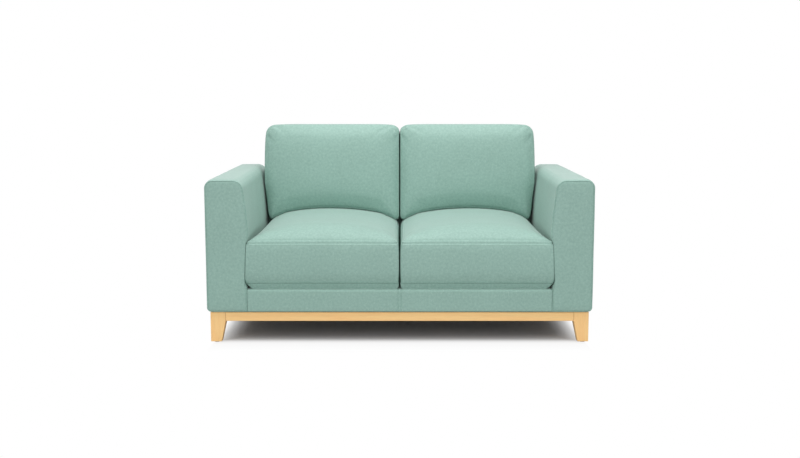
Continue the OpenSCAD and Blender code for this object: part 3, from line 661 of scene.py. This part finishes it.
def seat_cushion(name, side):
    """One seat cushion, resting on the deck, and the line of its topstitching."""
    half_w = (SEAT_HIGH.x - SEAT_LOW.x) / 2
    half_d = (SEAT_HIGH.y - SEAT_LOW.y) / 2
    peak = (half_d - CROWN_BACK) / half_d

    def on_plan(u, v, draw, turned=0.0, r=SEAT_CORNER_R):
        return plan(u, v, half_w - draw, half_d - draw - turned, r, SIDE_PULL)

    def ring(z, draw, turned=0.0, r=SEAT_CORNER_R):
        return lambda u, v: (*on_plan(u, v, draw, turned, r), z)

    def bottom(u, v):
        return *on_plan(u, v, SEAT_TUCK, LOW_TURN, SEAT_LOW_CORNER_R), 0

    def top(u, v):
        edge = max(abs(u), abs(v)) == 1
        x, y = on_plan(u, v, SEAT_TOP_DRAW + (SEAM_INSET if edge else 0))
        across = u + CROWN_SHIFT * (1 - u * u)
        if v > peak:
            along = dome((v - peak) / (1 - peak), 3, 0.67)
        else:
            back = (peak - v) / (1 + peak)
            short = max(0, 1 - (1 + v) * half_d / FRONT_ROLL)
            along = FRONT_RISE_SHARE * (1 - short ** 2) ** 0.62 + (1 - FRONT_RISE_SHARE) * (1 - back ** 2)
        return x, y, SEAT_SEAM_H + SEAT_CROWN * crossed(dome(across, 2, 0.53), along)

    def boxing(share):
        """How far the boxing is drawn in all round, and how far its front and rear turn under."""
        draw = SEAT_LOW_DRAW * (1 - share) ** 2 + SEAT_TOP_DRAW * share ** 4
        turned = LOW_TURN * max(0, 1 - share / LOW_TURN_SHARE) ** 2
        return draw - SEAT_BULGE * math.sin(math.pi * share), turned

    low, high = SEAT_LOW_SEAM_H, SEAT_SEAM_H
    rings = [ring(0, SEAT_TUCK, LOW_TURN, SEAT_LOW_CORNER_R)]
    under_seam = ((low / MM - 2, 1, 10.2), (low / MM - 0.6, 1, 4.7))
    for z, draw, step in ((1.5, 4.5, 8.5), (8, 2.5, 9.1), (16, 1.5, 9.7), *under_seam):
        rings.append(ring(z * MM, draw * MM, LOW_TURN + step * MM, SEAT_LOW_CORNER_R))
    heights = [low + step * MM for step in (1, 3, 7, 13, 21, 31, 43, 57, 69)]
    heights += [SEAT_ZIP_H + step * MM for step in ZIP_LINES]
    heights += [high - step * MM for step in (66, 54, 42, 31, 21, 13, 7, 3, 1.2)]
    for z in heights:
        rings.append(ring(z, *boxing((z - low) / (high - low))))
    rings.append(ring(high, SEAT_TOP_DRAW))
    points, faces, seam_ids, stitch_ids = cushion_mesh(
        grid_lines(half_w), grid_lines(half_d), rings, bottom, top
    )
    at_arm = np.clip(1 - (points[:, 0] + half_w) / (40 * MM), 0, 1)
    at_front = np.exp(-(((points[:, 1] + half_d) / CORNER_BULGE_REACH) ** 2))
    bulge = CORNER_BULGE * np.array([pressed(SEAT_Z + z) for z in points[:, 2]]) * at_arm * at_front
    points[:, 0] -= bulge
    points[:, 1] -= BULGE_FORWARDS * bulge
    at_zip = zip_strip(points[:, 2] - SEAT_ZIP_H, points[:, 0])
    zip_ids = np.where(at_zip & (points[:, 1] > half_d - 20 * MM))[0]
    height = points[:, 2].copy()
    by_zip = (np.abs(height - SEAT_ZIP_H) < 3 * MM) & (points[:, 1] > half_d - 30 * MM)
    points += np.array([SEAT_MIDDLE_X, (SEAT_HIGH.y + SEAT_LOW.y) / 2, SEAT_Z])
    if side > 0:
        points[:, 0] *= -1
        faces = flipped(faces)
    cushion = make_object(name, points, faces, cover)
    pinned = np.where(height < low + 2 * MM, 1.0, 0.0)
    pinned[seam_ids] = 1
    pinned[by_zip] = 0.6
    near = np.where(height > high, np.clip(1 - (height - high) / SEAT_SPARE_REACH, 0, 1), 0)
    loose = near * np.array([0.5 + 0.5 * noise.noise(Vector(p) * SEAT_SPARE_SCALE) for p in points])
    limit = np.where(height > high, SEAT_TOP_SWELL, SEAT_SIDE_SWELL)
    inflate(cushion, pinned, loose, SEAT_PRESSURE, limit)
    keep_off_sides(cushion, side, CUSHION_GAP, seat_middle)
    groove(cushion, stitch_ids, STITCH_GROOVE)
    groove(cushion, seam_ids, SEAM_GROOVE)
    sunk = read_points(cushion)
    sunk[zip_ids, 1] = SEAT_HIGH.y - ZIP_DEPTH
    write_points(cushion, sunk)
    subdivide(cushion)
    return cushion, sunk[stitch_ids]


def keep_off_sides(obj, side, clear, middle):
    """Holds a cushion clear of the arm's inner face and of its neighbour.

    middle gives where a cushion on this side ends beside its neighbour at a point.
    """
    points = read_points(obj)
    for p in points:
        across = side * p[0]
        if p[2] < ARM_INNER_C[1]:
            depth = p[1] + HALF_D
            across = min(across, arm_face_x(p[2], depth) + arm_dent(p[2], depth) - clear)
        p[0] = side * max(across, side * middle(side, p))
    write_points(obj, points)


def seat_middle(side, p):
    """Seat cushions stand apart evenly."""
    return side * OPENING


def pressed_middle(side, p):
    """Back cushions press into each other in shallow waves at the rear and part towards the sitter.

    The waves run straight up, so that a cushion clears its neighbour when it is lifted.
    """
    depth = back_face_y(p[2]) - p[1]
    wave = PRESS_WAVE * math.sin(2 * math.pi * p[1] / PRESS_LENGTH)
    apart = smooth(depth, PRESS_DEPTH, PRESS_DEPTH + 30 * MM)
    return wave * (1 - apart) + side * (CUSHION_GAP / 2 + OPENING * apart)


# Back cushions

def back_cushion(name, side, seat):
    """One back cushion, leaning on the inner back and standing on its seat cushion."""
    outer = ARM_IN + BACK_OVER_ARM
    half_w = (outer + PRESS) / 2
    half_h = BACK_CUSHION_H / 2

    def on_plan(u, v, draw, z):
        """The outer side follows the arm, stands over it and comes in again at the top."""
        a, b = half_w - draw, half_h - draw
        x, y = plan(u, v, a, b, BACK_CORNER_R, BACK_PULL, BACK_LOW_CORNER_R)
        rise = y + half_h
        level = BACK_FOOT_Z + rise * LEAN_COS + z * LEAN_SIN
        beside = math.cos(math.pi / 2 * limited((level - BACK_FOOT_Z) / (ARM_H - BACK_FOOT_Z)))
        arm_x = arm_face_x(max(level, BACK_FOOT_Z))
        side_in = max(0, outer + ARM_CLEAR + BESIDE_ARM * beside - arm_x)
        side_in += BACK_TOP_IN * limited(rise / BACK_CUSHION_H) ** BACK_TOP_IN_POWER
        return x + side_in * (half_w - x) / (2 * half_w), y, z

    def ring(z, draw):
        return lambda u, v: on_plan(u, v, draw, z)

    def rear(u, v):
        return on_plan(u, v, BACK_DRAW, 0)

    def front(u, v):
        edge = max(abs(u), abs(v)) == 1
        rise = BACK_CROWN * dome(u, 2.5, 0.62) * dome(v, 3, 0.67)
        return on_plan(u, v, BACK_DRAW + (SEAM_INSET if edge else 0), BACK_CUSHION_T + rise)

    rings = []
    turns = [0, 0.012, 0.04, 0.07, 0.1]
    for share in turns + list(np.linspace(0.18, 0.82, 8)) + [1 - turn for turn in reversed(turns)]:
        short = max(0, 1 - min(share, 1 - share) / BACK_ROUND)
        draw = BACK_DRAW * (1 - math.sqrt(1 - short ** 2))
        rings.append(ring(BACK_CUSHION_T * share, draw - BACK_BULGE * math.sin(math.pi * share)))
    zip_vs = [(ZIP_RISE + step * MM) / half_h - 1 for step in ZIP_LINES]
    vs = sorted([v for v in grid_lines(half_h) if abs(v - zip_vs[2]) > 0.035] + zip_vs)
    points, faces, seam_ids, _ = cushion_mesh(grid_lines(half_w), vs, rings, rear, front)
    points[:, 1] += half_h
    at_zip = zip_strip(points[:, 1] - ZIP_RISE, points[:, 0])
    zip_ids = np.where(at_zip & (points[:, 2] < 1 * MM))[0]
    depth = points[:, 2].copy()
    up = np.array([0, LEAN_SIN, LEAN_COS])
    out = np.array([0, -LEAN_COS, LEAN_SIN])
    foot = np.array([PRESS - half_w, back_face_y(BACK_FOOT_Z, -SOFT_GAP), BACK_FOOT_Z])
    mirror = np.array([-side, 1, 1])

    def placed(local):
        world = foot + local[:, 1:2] * up + local[:, 2:3] * out
        world[:, 0] += local[:, 0]
        return world * mirror

    tree = tree_of(seat)
    floors = []
    for p, z in zip(placed(points), depth):
        crown = height_in(tree, p, BACK_FOOT_Z)
        level = crown + CUSHION_GAP - BACK_FOOT_Z - z * LEAN_SIN
        floors.append(max(0, level / LEAN_COS))
    floors = np.array(floors)
    share = points[:, 1] / BACK_CUSHION_H
    points[:, 1] = floors + share * (BACK_CUSHION_H - floors)
    world = placed(points)
    cushion = make_object(name, world, flipped(faces) if side > 0 else faces, cover)
    pinned = np.where(depth < 1 * MM, 1.0, 0.0)
    pinned[points[:, 1] < floors + 6 * MM] = 1
    pinned[seam_ids] = 1
    from_top = BACK_CUSHION_H - points[:, 1]
    near = 0.6 * np.clip(1 - from_top / BACK_SPARE_REACH, 0, 1) * np.clip(depth / BACK_CUSHION_T, 0, 1)
    places = [Vector((p[0] * BACK_SPARE_SCALE, side, 0)) for p in world]
    loose = near * np.array([0.5 + 0.9 * noise.noise(place) for place in places])
    inflate(cushion, pinned, loose, BACK_PRESSURE, BACK_SWELL)
    keep_off_seat(cushion, tree)
    keep_off_sides(cushion, side, ARM_CLEAR, pressed_middle)
    sunk = read_points(cushion)
    zip_centre = sunk[zip_ids].mean(axis=0)
    sunk[zip_ids] += ZIP_DEPTH * out
    write_points(cushion, sunk)
    subdivide(cushion)
    return cushion, zip_centre


def keep_off_seat(obj, tree):
    """Lifts what has sunk into the seat cushion back onto it."""
    points = read_points(obj)
    for p in points:
        p[2] = max(p[2], height_in(tree, p, 0) + CUSHION_GAP)
    write_points(obj, points)


# Stitches and zips

def along_path(path, closed):
    """Distances and points of a path, to be read at any distance."""
    path = np.array(path)
    if closed:
        path = np.vstack([path, path[:1]])
    steps = np.linalg.norm(np.diff(path, axis=0), axis=1)
    along = np.concatenate([[0], np.cumsum(steps)])
    return along[-1], lambda d: Vector([np.interp(d, along, path[:, k]) for k in range(3)])


def stitch_row(name, path, cloth, closed=False):
    """A row of stitches on a cloth's surface, each dipping into it at both ends."""
    tree = tree_of(cloth)
    length, at = along_path(path, closed)
    count = int(length / STITCH_STEP)
    turns = [2 * math.pi * k / 5 for k in range(5)]
    row = ([], [])
    for i in range(count):
        middle = (i + 0.5) * length / count
        start, end = at(middle - STITCH_LENGTH / 2), at(middle + STITCH_LENGTH / 2)
        spot, normal = tree.find_nearest((start + end) / 2)[:2]
        line = (end - start).normalized()
        across = normal.cross(line).normalized()
        rings = []
        for share in (-1, -0.6, 0.6, 1):
            lift = THREAD_R * (0.7 if abs(share) < 1 else -0.8)
            centre = spot + line * share * STITCH_LENGTH / 2 + normal * lift
            rings.append([centre + THREAD_R * (math.cos(a) * across + math.sin(a) * normal) for a in turns])
        append_mesh(row, *lofted(rings))
    return make_object(name, *row, thread)


def eased_prism(outline, y0, y1, ease):
    """A thin solid with eased edges from a convex outline in X and Z."""
    middle_x, middle_z = np.mean(outline, axis=0)
    rings = []
    for inset, y in ((ease, y0), (0, y0 + ease), (0, y1 - ease), (ease, y1)):
        ring = []
        for x, z in outline:
            shrink = 1 - inset / max(math.hypot(x - middle_x, z - middle_z), 1e-6)
            ring.append((middle_x + (x - middle_x) * shrink, y, middle_z + (z - middle_z) * shrink))
        rings.append(ring)
    points, faces = lofted(rings)
    return points, flipped(faces)


def zip_parts():
    """Tape, and teeth with slider and pull, along X; 0 is the cover's surface and -Y is inwards."""
    tape, metal = ([], []), ([], [])
    base = 0.3 * MM - ZIP_DEPTH

    def add(parts, outline, y0, y1, ease):
        append_mesh(parts, *eased_prism(outline, base + y0 * MM, base + y1 * MM, ease * MM))

    def shape(x, z, corners):
        return [(x + dx * MM, z + dz * MM) for dx, dz in corners]

    for z in (-1.1 * MM, 1.1 * MM):
        for i in range(TAPE_PIECES):
            x = (i + 0.5) / TAPE_PIECES * ZIP_L - ZIP_L / 2
            add(tape, rectangle(x, z, ZIP_L / TAPE_PIECES, 2 * MM), 0, 0.6, 0.1)
    for i in range(int((ZIP_L - 24 * MM) / TOOTH_STEP)):
        x = 22 * MM - ZIP_L / 2 + i * TOOTH_STEP
        add(metal, shape(x, (0.35 if i % 2 else -0.35) * MM, TOOTH), 0.5, 1.5, 0.15)
    slider_x = 12 * MM - ZIP_L / 2
    add(metal, shape(slider_x, 0, SLIDER), 0.6, 2.1, 0.3)
    pull = arc((slider_x + 4 * MM, 0), 1.0 * MM, 90, 270, 6)
    pull += arc((slider_x + 16 * MM, 0), 1.6 * MM, -90, 90, 8)
    add(metal, pull, 2.1, 2.8, 0.15)
    return tape, metal


def add_zip(body, centre, lean):
    """Lays a zip in the groove of a cover's rear."""
    for part, stuff, slot, (points, faces) in zip(
        ("tape", "teeth"), (thread, steel), ("cover", "bolt_steel"), zip_parts()
    ):
        turned = []
        for x, y, z in points:
            out, up = y * math.cos(lean) + z * math.sin(lean), -y * math.sin(lean) + z * math.cos(lean)
            turned.append((centre[0] + x, centre[1] + out, centre[2] + up))
        obj = make_object(body + "_zip_" + part, turned, faces, stuff, smooth=False)
        declare(obj, body, slot)


# Materials

COVER_ROUGH = 0.52
COVER_SHEEN = 0.42
COVER_GLOSS = 0.5
GAP_SHADE_GLOSS = 0.1
SHEEN_ROUGH = 0.35
# How far sideways a cushion's face turns before it takes the cloth without sheen, as painted shade in the
# gaps
SIDE_TURN = 0.85
# How far inwards an arm's faces turn before they take each copy of the cloth with less sheen, as painted
# shade
INNER_SHADE_TURNS = (0.3, 0.6, 0.85)
INNER_SHADE_SHEENS = (0.34, 0.26, 0.18)


def srgb(red, green, blue):
    """A linear colour from photograph values between 0 and 255."""
    def linear(value):
        value /= 255
        return value / 12.92 if value <= 0.04045 else ((value + 0.055) / 1.055) ** 2.4
    return (linear(red), linear(green), linear(blue), 1)


class Tree:
    """Short calls for building a tree of shader nodes."""

    def __init__(self, tree):
        self.tree = tree

    def put(self, socket, value):
        """Gives a socket a plain value or links another node's output to it."""
        if isinstance(value, (int, float, tuple)):
            socket.default_value = value
        else:
            self.tree.links.new(value, socket)

    def add(self, kind, inputs=(), **settings):
        """A new node; inputs are values or outputs by the names or numbers of its sockets."""
        node = self.tree.nodes.new(kind)
        for key, value in settings.items():
            setattr(node, key, value)
        for key, value in dict(inputs).items():
            self.put(node.inputs[key], value)
        return node

    def math(self, operation, *values):
        return self.add("ShaderNodeMath", enumerate(values), operation=operation).outputs["Value"]

    def mixed_shaders(self, share, first, second):
        return self.add("ShaderNodeMixShader", enumerate((share, first, second))).outputs["Shader"]


class Nodes(Tree):
    """A new material's tree of nodes."""

    def __init__(self, name):
        self.material = bpy.data.materials.new(name)
        self.material.use_nodes = True
        super().__init__(self.material.node_tree)
        self.shader = self.tree.nodes["Principled BSDF"]
        self.place = self.add("ShaderNodeTexCoord").outputs["Object"]

    def stretched(self, scale):
        return self.add("ShaderNodeMapping", {"Vector": self.place, "Scale": scale}).outputs["Vector"]

    def noise(self, scale, detail=4, roughness=0.5, place=None):
        inputs = {"Vector": place or self.place, "Scale": scale, "Detail": detail, "Roughness": roughness}
        return self.add("ShaderNodeTexNoise", inputs).outputs["Fac"]

    def ramp(self, value, stops):
        node = self.add("ShaderNodeValToRGB", {"Fac": value})
        while len(node.color_ramp.elements) < len(stops):
            node.color_ramp.elements.new(0.5)
        for element, (position, colour) in zip(node.color_ramp.elements, stops):
            element.position = position
            element.color = colour
        return node.outputs["Color"]

    def mixed(self, share, first, second, kind="MIX"):
        inputs = {"Factor": share, 6: first, 7: second}
        return self.add("ShaderNodeMix", inputs, data_type="RGBA", blend_type=kind).outputs[2]

    def bump(self, height, distance, strength=1.0, under=None):
        node = self.add("ShaderNodeBump", {"Height": height, "Distance": distance, "Strength": strength})
        if under:
            self.put(node.inputs["Normal"], under)
        return node.outputs["Normal"]

    def finish(self, **sockets):
        """The material; the shader's sockets are named with _ for each space."""
        for name, value in sockets.items():
            self.put(self.shader.inputs[name.replace("_", " ")], value)
        return self.material


def grey(value):
    return (value, value, value, 1)


def cover_material(name, sheen, gloss):
    """Brushed mint cloth: soft mottling, a fine weave and scattered lighter fibres."""
    nodes = Nodes(name)
    mottle = nodes.noise(100, 6, 0.7)
    colour = nodes.ramp(mottle, [(0.32, srgb(132, 166, 155)), (0.68, srgb(150, 184, 173))])
    cloud = nodes.noise(6, 3)
    shade = nodes.ramp(cloud, [(0.3, grey(0.96)), (0.7, grey(1.0))])
    colour = nodes.mixed(1.0, colour, shade, "MULTIPLY")
    streak = nodes.noise(30, 3, 0.6, nodes.stretched((9.0, 9.0, 2.2)))
    fleck = nodes.ramp(streak, [(0.62, grey(0.0)), (0.72, grey(0.35))])
    colour = nodes.mixed(fleck, colour, srgb(178, 208, 199))
    fibre = nodes.noise(900, 2)
    grain = nodes.noise(150, 4, 0.65)
    normal = nodes.bump(fibre, 0.15 * MM, 0.5)
    normal = nodes.bump(grain, 0.4 * MM, 0.5, normal)
    rough = nodes.ramp(mottle, [(0.3, grey(COVER_ROUGH)), (0.7, grey(COVER_ROUGH + 0.08))])
    return nodes.finish(
        Base_Color=colour, Roughness=rough, Normal=normal,
        Sheen_Weight=sheen, Sheen_Roughness=SHEEN_ROUGH, Specular_IOR_Level=gloss
    )


def shade_inner_face(obj):
    """Gives an arm's inner face copies of the cloth with less sheen than its top, the more so the further
    the face turns inwards: painted shade, darker and greener there.
    """
    for least, shade_copy in zip(INNER_SHADE_TURNS, inner_face_shade_covers):
        obj.data.materials.append(shade_copy)
        place = len(obj.data.materials) - 1
        for face in obj.data.polygons:
            if -face.normal.x * math.copysign(1, face.center.x) > least:
                face.material_index = place


def shade_cushion_sides(obj):
    """Gives a cushion's left and right sides the cloth without sheen: painted shade that darkens the gaps
    between the cushions and beside the arms.
    """
    obj.data.materials.append(gap_shade_cover)
    for face in obj.data.polygons:
        if abs(face.normal.x) > SIDE_TURN:
            face.material_index = 1


def wood_material(name, grain_axis, light, dark, roughness):
    """Fine straight-grained wood, its grain along one axis."""
    nodes = Nodes(name)
    scale = [14.0, 14.0, 14.0]
    scale["XYZ".index(grain_axis)] = 1.0
    place = nodes.stretched(tuple(scale))
    figure = nodes.noise(3.0, 5, 0.55, place)
    pores = nodes.noise(26.0, 3, 0.6, place)
    colour = nodes.ramp(figure, [(0.32, dark), (0.62, light)])
    vein = nodes.ramp(pores, [(0.35, grey(0.95)), (0.55, grey(1.0))])
    colour = nodes.mixed(1.0, colour, vein, "MULTIPLY")
    normal = nodes.bump(pores, 0.12 * MM, 0.4)
    rough = nodes.ramp(figure, [(0.3, grey(roughness + 0.08)), (0.7, grey(roughness))])
    return nodes.finish(Base_Color=colour, Roughness=rough, Normal=normal, Specular_IOR_Level=0.3)


def woods(name, light, dark, roughness):
    """One wood with its grain along each axis."""
    return {axis: wood_material(name + axis.lower(), axis, light, dark, roughness) for axis in "XYZ"}


def speckled_material(name, first, second, scale, roughness, bump, metallic):
    """A plain stuff with fine speckles."""
    nodes = Nodes(name)
    speck = nodes.noise(scale, 4, 0.6)
    colour = nodes.ramp(speck, [(0.35, first), (0.65, second)])
    normal = nodes.bump(speck, bump, 0.5)
    return nodes.finish(Base_Color=colour, Roughness=roughness, Normal=normal, Metallic=metallic)


def webbing_material():
    """Woven jute band."""
    nodes = Nodes("webbing")
    weave = nodes.add("ShaderNodeTexChecker", {"Vector": nodes.place, "Scale": 400}).outputs["Fac"]
    colour = nodes.mixed(weave, srgb(190, 165, 122), srgb(160, 135, 96))
    speck = nodes.noise(60, 3)
    colour = nodes.mixed(speck, colour, srgb(150, 122, 84))
    normal = nodes.bump(weave, 0.3 * MM, 0.5)
    return nodes.finish(Base_Color=colour, Roughness=0.9, Normal=normal)


cover = cover_material("mint_cover", COVER_SHEEN, COVER_GLOSS)
# The cloth without sheen paints shade into the gaps between the cushions and onto the deck seen through
# them
gap_shade_cover = cover_material("mint_cover_gap_shade", 0.0, GAP_SHADE_GLOSS)
# Copies of the cloth with less sheen paint shade on the arms' inner faces
inner_face_shade_covers = [cover_material("mint_cover_inner_shade", sheen, COVER_GLOSS) for sheen in INNER_SHADE_SHEENS]
show_wood = woods("show_wood_", srgb(255, 212, 147), srgb(254, 203, 137), 0.42)
timber = woods("timber_", srgb(226, 198, 150), srgb(205, 170, 118), 0.75)
webbing = webbing_material()
thread, joint_stain, panel, dust, glide, steel = [
    speckled_material(name, srgb(*first), srgb(*second), scale, roughness, bump * MM, metallic)
    for name, first, second, scale, roughness, bump, metallic in (
        ("thread", (150, 182, 172), (134, 167, 157), 900, 0.8, 0.1, 0),
        ("joint_stain", (150, 104, 58), (128, 86, 46), 300, 0.7, 0.05, 0),
        ("panel_board", (166, 128, 88), (148, 110, 72), 180, 0.8, 0.2, 0),
        ("dust_cloth", (34, 34, 36), (24, 24, 26), 600, 0.95, 0.2, 0),
        ("glide_plastic", (46, 46, 48), (38, 38, 40), 400, 0.6, 0.05, 0),
        ("bolt_steel", (190, 192, 195), (170, 172, 176), 300, 0.35, 0.05, 1),
    )
]


# Build the pieces

def declare(obj, body, slot, *nodes, fill=None):
    """Attaches a piece to what it rides on and hides the solids it stands for. The arguments slot, its
    finish, and fill, how full it is, are not used.
    """
    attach(obj, body)
    if nodes:
        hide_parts(*nodes)


for word, side in SIDES.items():
    arm = make_object(word + "_arm_upholstery", *arm_mesh(side), cover)
    undulate(arm, ARM_WAVE, ARM_WAVE_SCALE, side + 2)
    shade_inner_face(arm)
    covered = [word + "_arm_" + part for part in ("cover", "foam", "facing")]
    declare(arm, "sofa", "cover", *covered, fill=0.95)

rail = swept("front_rail_upholstery", rail_rows(), cover)
declare(rail, "sofa", "cover", "front_rail_cover", "front_rail_pad", fill=0.9)
for word, side in SIDES.items():
    line = [(side * RAIL_STITCH_X, y, z) for y, z in rail_path(-0.5 * MM)[2:-4]]
    declare(stitch_row("front_rail_" + word + "_stitches", line, rail), "sofa", "cover")

back_rows = [[(share * back_reach(z), y, z) for y, z in back_path()] for share in np.linspace(-1, 1, 91)]
inner_back = swept("inner_back_upholstery", back_rows, cover)
declare(inner_back, "sofa", "cover", "inner_back_cover", "inner_back_pad", fill=0.9)

# The deck takes the cloth without sheen: painted shade where it shows through the gaps between the cushions
deck = make_object("deck_upholstery", *deck_mesh(), gap_shade_cover)
declare(deck, "sofa", "cover", "deck_pad", "deck_cloth", fill=0.9)

seats = {}
for word, side in SIDES.items():
    body = word + "_seat_cushion"
    seats[word], line = seat_cushion(body, side)
    declare(seats[word], body, "cover", body + "_cover", body + "_core", fill=0.85)
    shade_cushion_sides(seats[word])
    declare(stitch_row(body + "_topstitch", line, seats[word], True), body, "cover")
    add_zip(body, (-side * SEAT_MIDDLE_X, SEAT_HIGH.y, SEAT_Z + SEAT_ZIP_H), 0)

for word, side in SIDES.items():
    body = word + "_back_cushion"
    cushion, zip_centre = back_cushion(body, side, seats[word])
    declare(cushion, body, "cover", body + "_cover", body + "_core", fill=0.8)
    shade_cushion_sides(cushion)
    add_zip(body, zip_centre, BACK_LEAN)

declare(outer_back(), "sofa", "cover", "outer_back_cover", fill=0.9)

low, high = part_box("dust_cover")
points = [(high.x * u, high.y * v, low.z + DUST_RISE) for u, v in unit_grid(*DUST_GRID)]
dust_sheet = make_object("dust_cloth", points, sheet_faces(*DUST_GRID), dust)
declare(dust_sheet, "sofa", "dust_cloth", "dust_cover")

# Joints between the legs and the plinth rails
joints = ([], [])
for end in ("front", "rear"):
    rail_low, rail_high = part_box(end + "_plinth_rail")
    middle_z, height = (rail_low.z + rail_high.z) / 2, rail_high.z - rail_low.z - 2 * JOINT_END
    for word in SIDES:
        leg = list(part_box(end + "_" + word + "_leg"))
        seen_x, joint_x = [corner.x for corner in (leg if word == "left" else reversed(leg))]
        seen_y, joint_y = [corner.y for corner in (leg if end == "front" else reversed(leg))]
        for middle, face, swap in ((joint_x, seen_y, False), (joint_y, seen_x, True)):
            outline = rectangle(middle, middle_z, JOINT_W, height)
            points, faces = eased_prism(outline, face - JOINT_PROUD, face + JOINT_PROUD, JOINT_PROUD / 2)
            if swap:
                points, faces = [(y, x, z) for x, y, z in points], flipped(faces)
            append_mesh(joints, points, faces)
declare(make_object("plinth_joints", *joints, joint_stain, smooth=False), "sofa", "show_wood")


# Finishes of the solids that stay, by what their names hold
FINISHES = {
    "_leg": show_wood["Z"], "_posts": timber["Z"], "_uprights": timber["Z"], "_bolts": steel,
    "webbing": webbing, "_panel": panel, "_board": panel, "foot_glides": glide
}


def finish_of(name):
    for part, finish in FINISHES.items():
        if part in name:
            return finish
    sideways = name.startswith(("left", "right", "centre")) and not name.endswith(("cover", "core"))
    return (show_wood if name.endswith("plinth_rail") else timber)["Y" if sideways else "X"]


for name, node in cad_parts.items():
    node.data.materials.clear()
    node.data.materials.append(finish_of(name))


# Floor, light and camera

# How white the floor glows to the camera at distances in millimetres in from the sofa's sides, and from its
# ends: a painted soft edge of the shadow round the sofa
SHADOW_RANGE = 400
SHADOW_X = {20: 1, 40: 0.72, 55: 0.46, 65: 0.36, 77: 0.25, 88: 0.17, 100: 0.1, 130: 0.02, 180: 0}
SHADOW_Y = {-150: 1, -9: 0.87, 7: 0.8, 25: 0.67, 42: 0.46, 59: 0.27, 77: 0.15, 95: 0.07, 130: 0.006}


def floor_material():
    """Pale floor that glows white to the camera; the glow fades in a painted shadow edge round the sofa
    into the real shadow kept below it.
    """
    nodes = Nodes("pale_floor")
    speck = nodes.noise(40, 3)
    colour = nodes.ramp(speck, [(0.3, grey(0.6)), (0.7, grey(0.62))])
    nodes.finish(Base_Color=colour, Roughness=0.7)
    split = nodes.add("ShaderNodeSeparateXYZ", {"Vector": nodes.place}).outputs
    shares = []
    for axis, half, fade in (("X", HALF_W, SHADOW_X), ("Y", HALF_D, SHADOW_Y)):
        inset = nodes.math("SUBTRACT", half, nodes.math("ABSOLUTE", split[axis]))
        place = nodes.math("MULTIPLY_ADD", inset, 1 / (SHADOW_RANGE * MM), 0.5)
        stops = [(0.5 + distance / SHADOW_RANGE, grey(white)) for distance, white in fade.items()]
        shares.append(nodes.ramp(place, stops))
    camera_ray = nodes.add("ShaderNodeLightPath").outputs["Is Camera Ray"]
    seen = nodes.math("MULTIPLY", nodes.math("MAXIMUM", *shares), camera_ray)
    glow = nodes.add("ShaderNodeEmission", {"Strength": 1.0}).outputs["Emission"]
    shown = nodes.mixed_shaders(seen, nodes.shader.outputs["BSDF"], glow)
    nodes.put(nodes.tree.nodes["Material Output"].inputs["Surface"], shown)
    return nodes.material


def area_light(name, place, size, power):
    light = new_object(name, bpy.data.lights.new(name, "AREA"))
    light.data.shape = "RECTANGLE"
    light.data.size, light.data.size_y = size
    light.data.energy = power
    light.location = place
    light.rotation_euler = (Vector(LIGHT_AIM) - Vector(place)).to_track_quat("-Z", "Y").to_euler()


FLOOR_SIZE = 28.0
AMBIENT = 0.54
OVERHEAD = 102
FRONT_FILL = 52
LIGHT_AIM = (0, 0, 0.4)

corners = [(x, y, 0) for x, y in rectangle(0, 0, FLOOR_SIZE, FLOOR_SIZE)]
make_object("floor", corners, [(0, 1, 2, 3)], floor_material(), smooth=False)

world = bpy.data.worlds.new("studio")
scene.world = world
world.use_nodes = True
studio = Tree(world.node_tree)
studio.tree.nodes.clear()
rays = studio.add("ShaderNodeLightPath").outputs
seen = rays["Is Camera Ray"]
for kind in ("Is Glossy Ray", "Is Transmission Ray"):
    seen = studio.math("MAXIMUM", seen, rays[kind])
ambient, backdrop = [
    studio.add("ShaderNodeBackground", {"Color": grey(1.0), "Strength": strength}).outputs["Background"]
    for strength in (AMBIENT, 1.0)
]
studio.add("ShaderNodeOutputWorld", {"Surface": studio.mixed_shaders(seen, ambient, backdrop)})

area_light("overhead", (0, -0.5, 3.6), (4.0, 3.0), OVERHEAD)
area_light("front_fill", (0, -4.5, 2.2), (4.0, 2.0), FRONT_FILL)

CAMERA_PITCH = math.radians(7.814)
CAMERA_PLACE = (1.5 * MM, -4.75, 1.069)
FOCAL_PIXELS = 1057.0
IMAGE_WIDTH = 800
SENSOR = 36.0
camera = new_object("camera", bpy.data.cameras.new("camera"))
camera.data.sensor_width = SENSOR
camera.data.lens = FOCAL_PIXELS / IMAGE_WIDTH * SENSOR
camera.location = CAMERA_PLACE
camera.rotation_euler = (math.pi / 2 - CAMERA_PITCH, 0, 0)
scene.camera = camera
scene.view_settings.view_transform = "Standard"
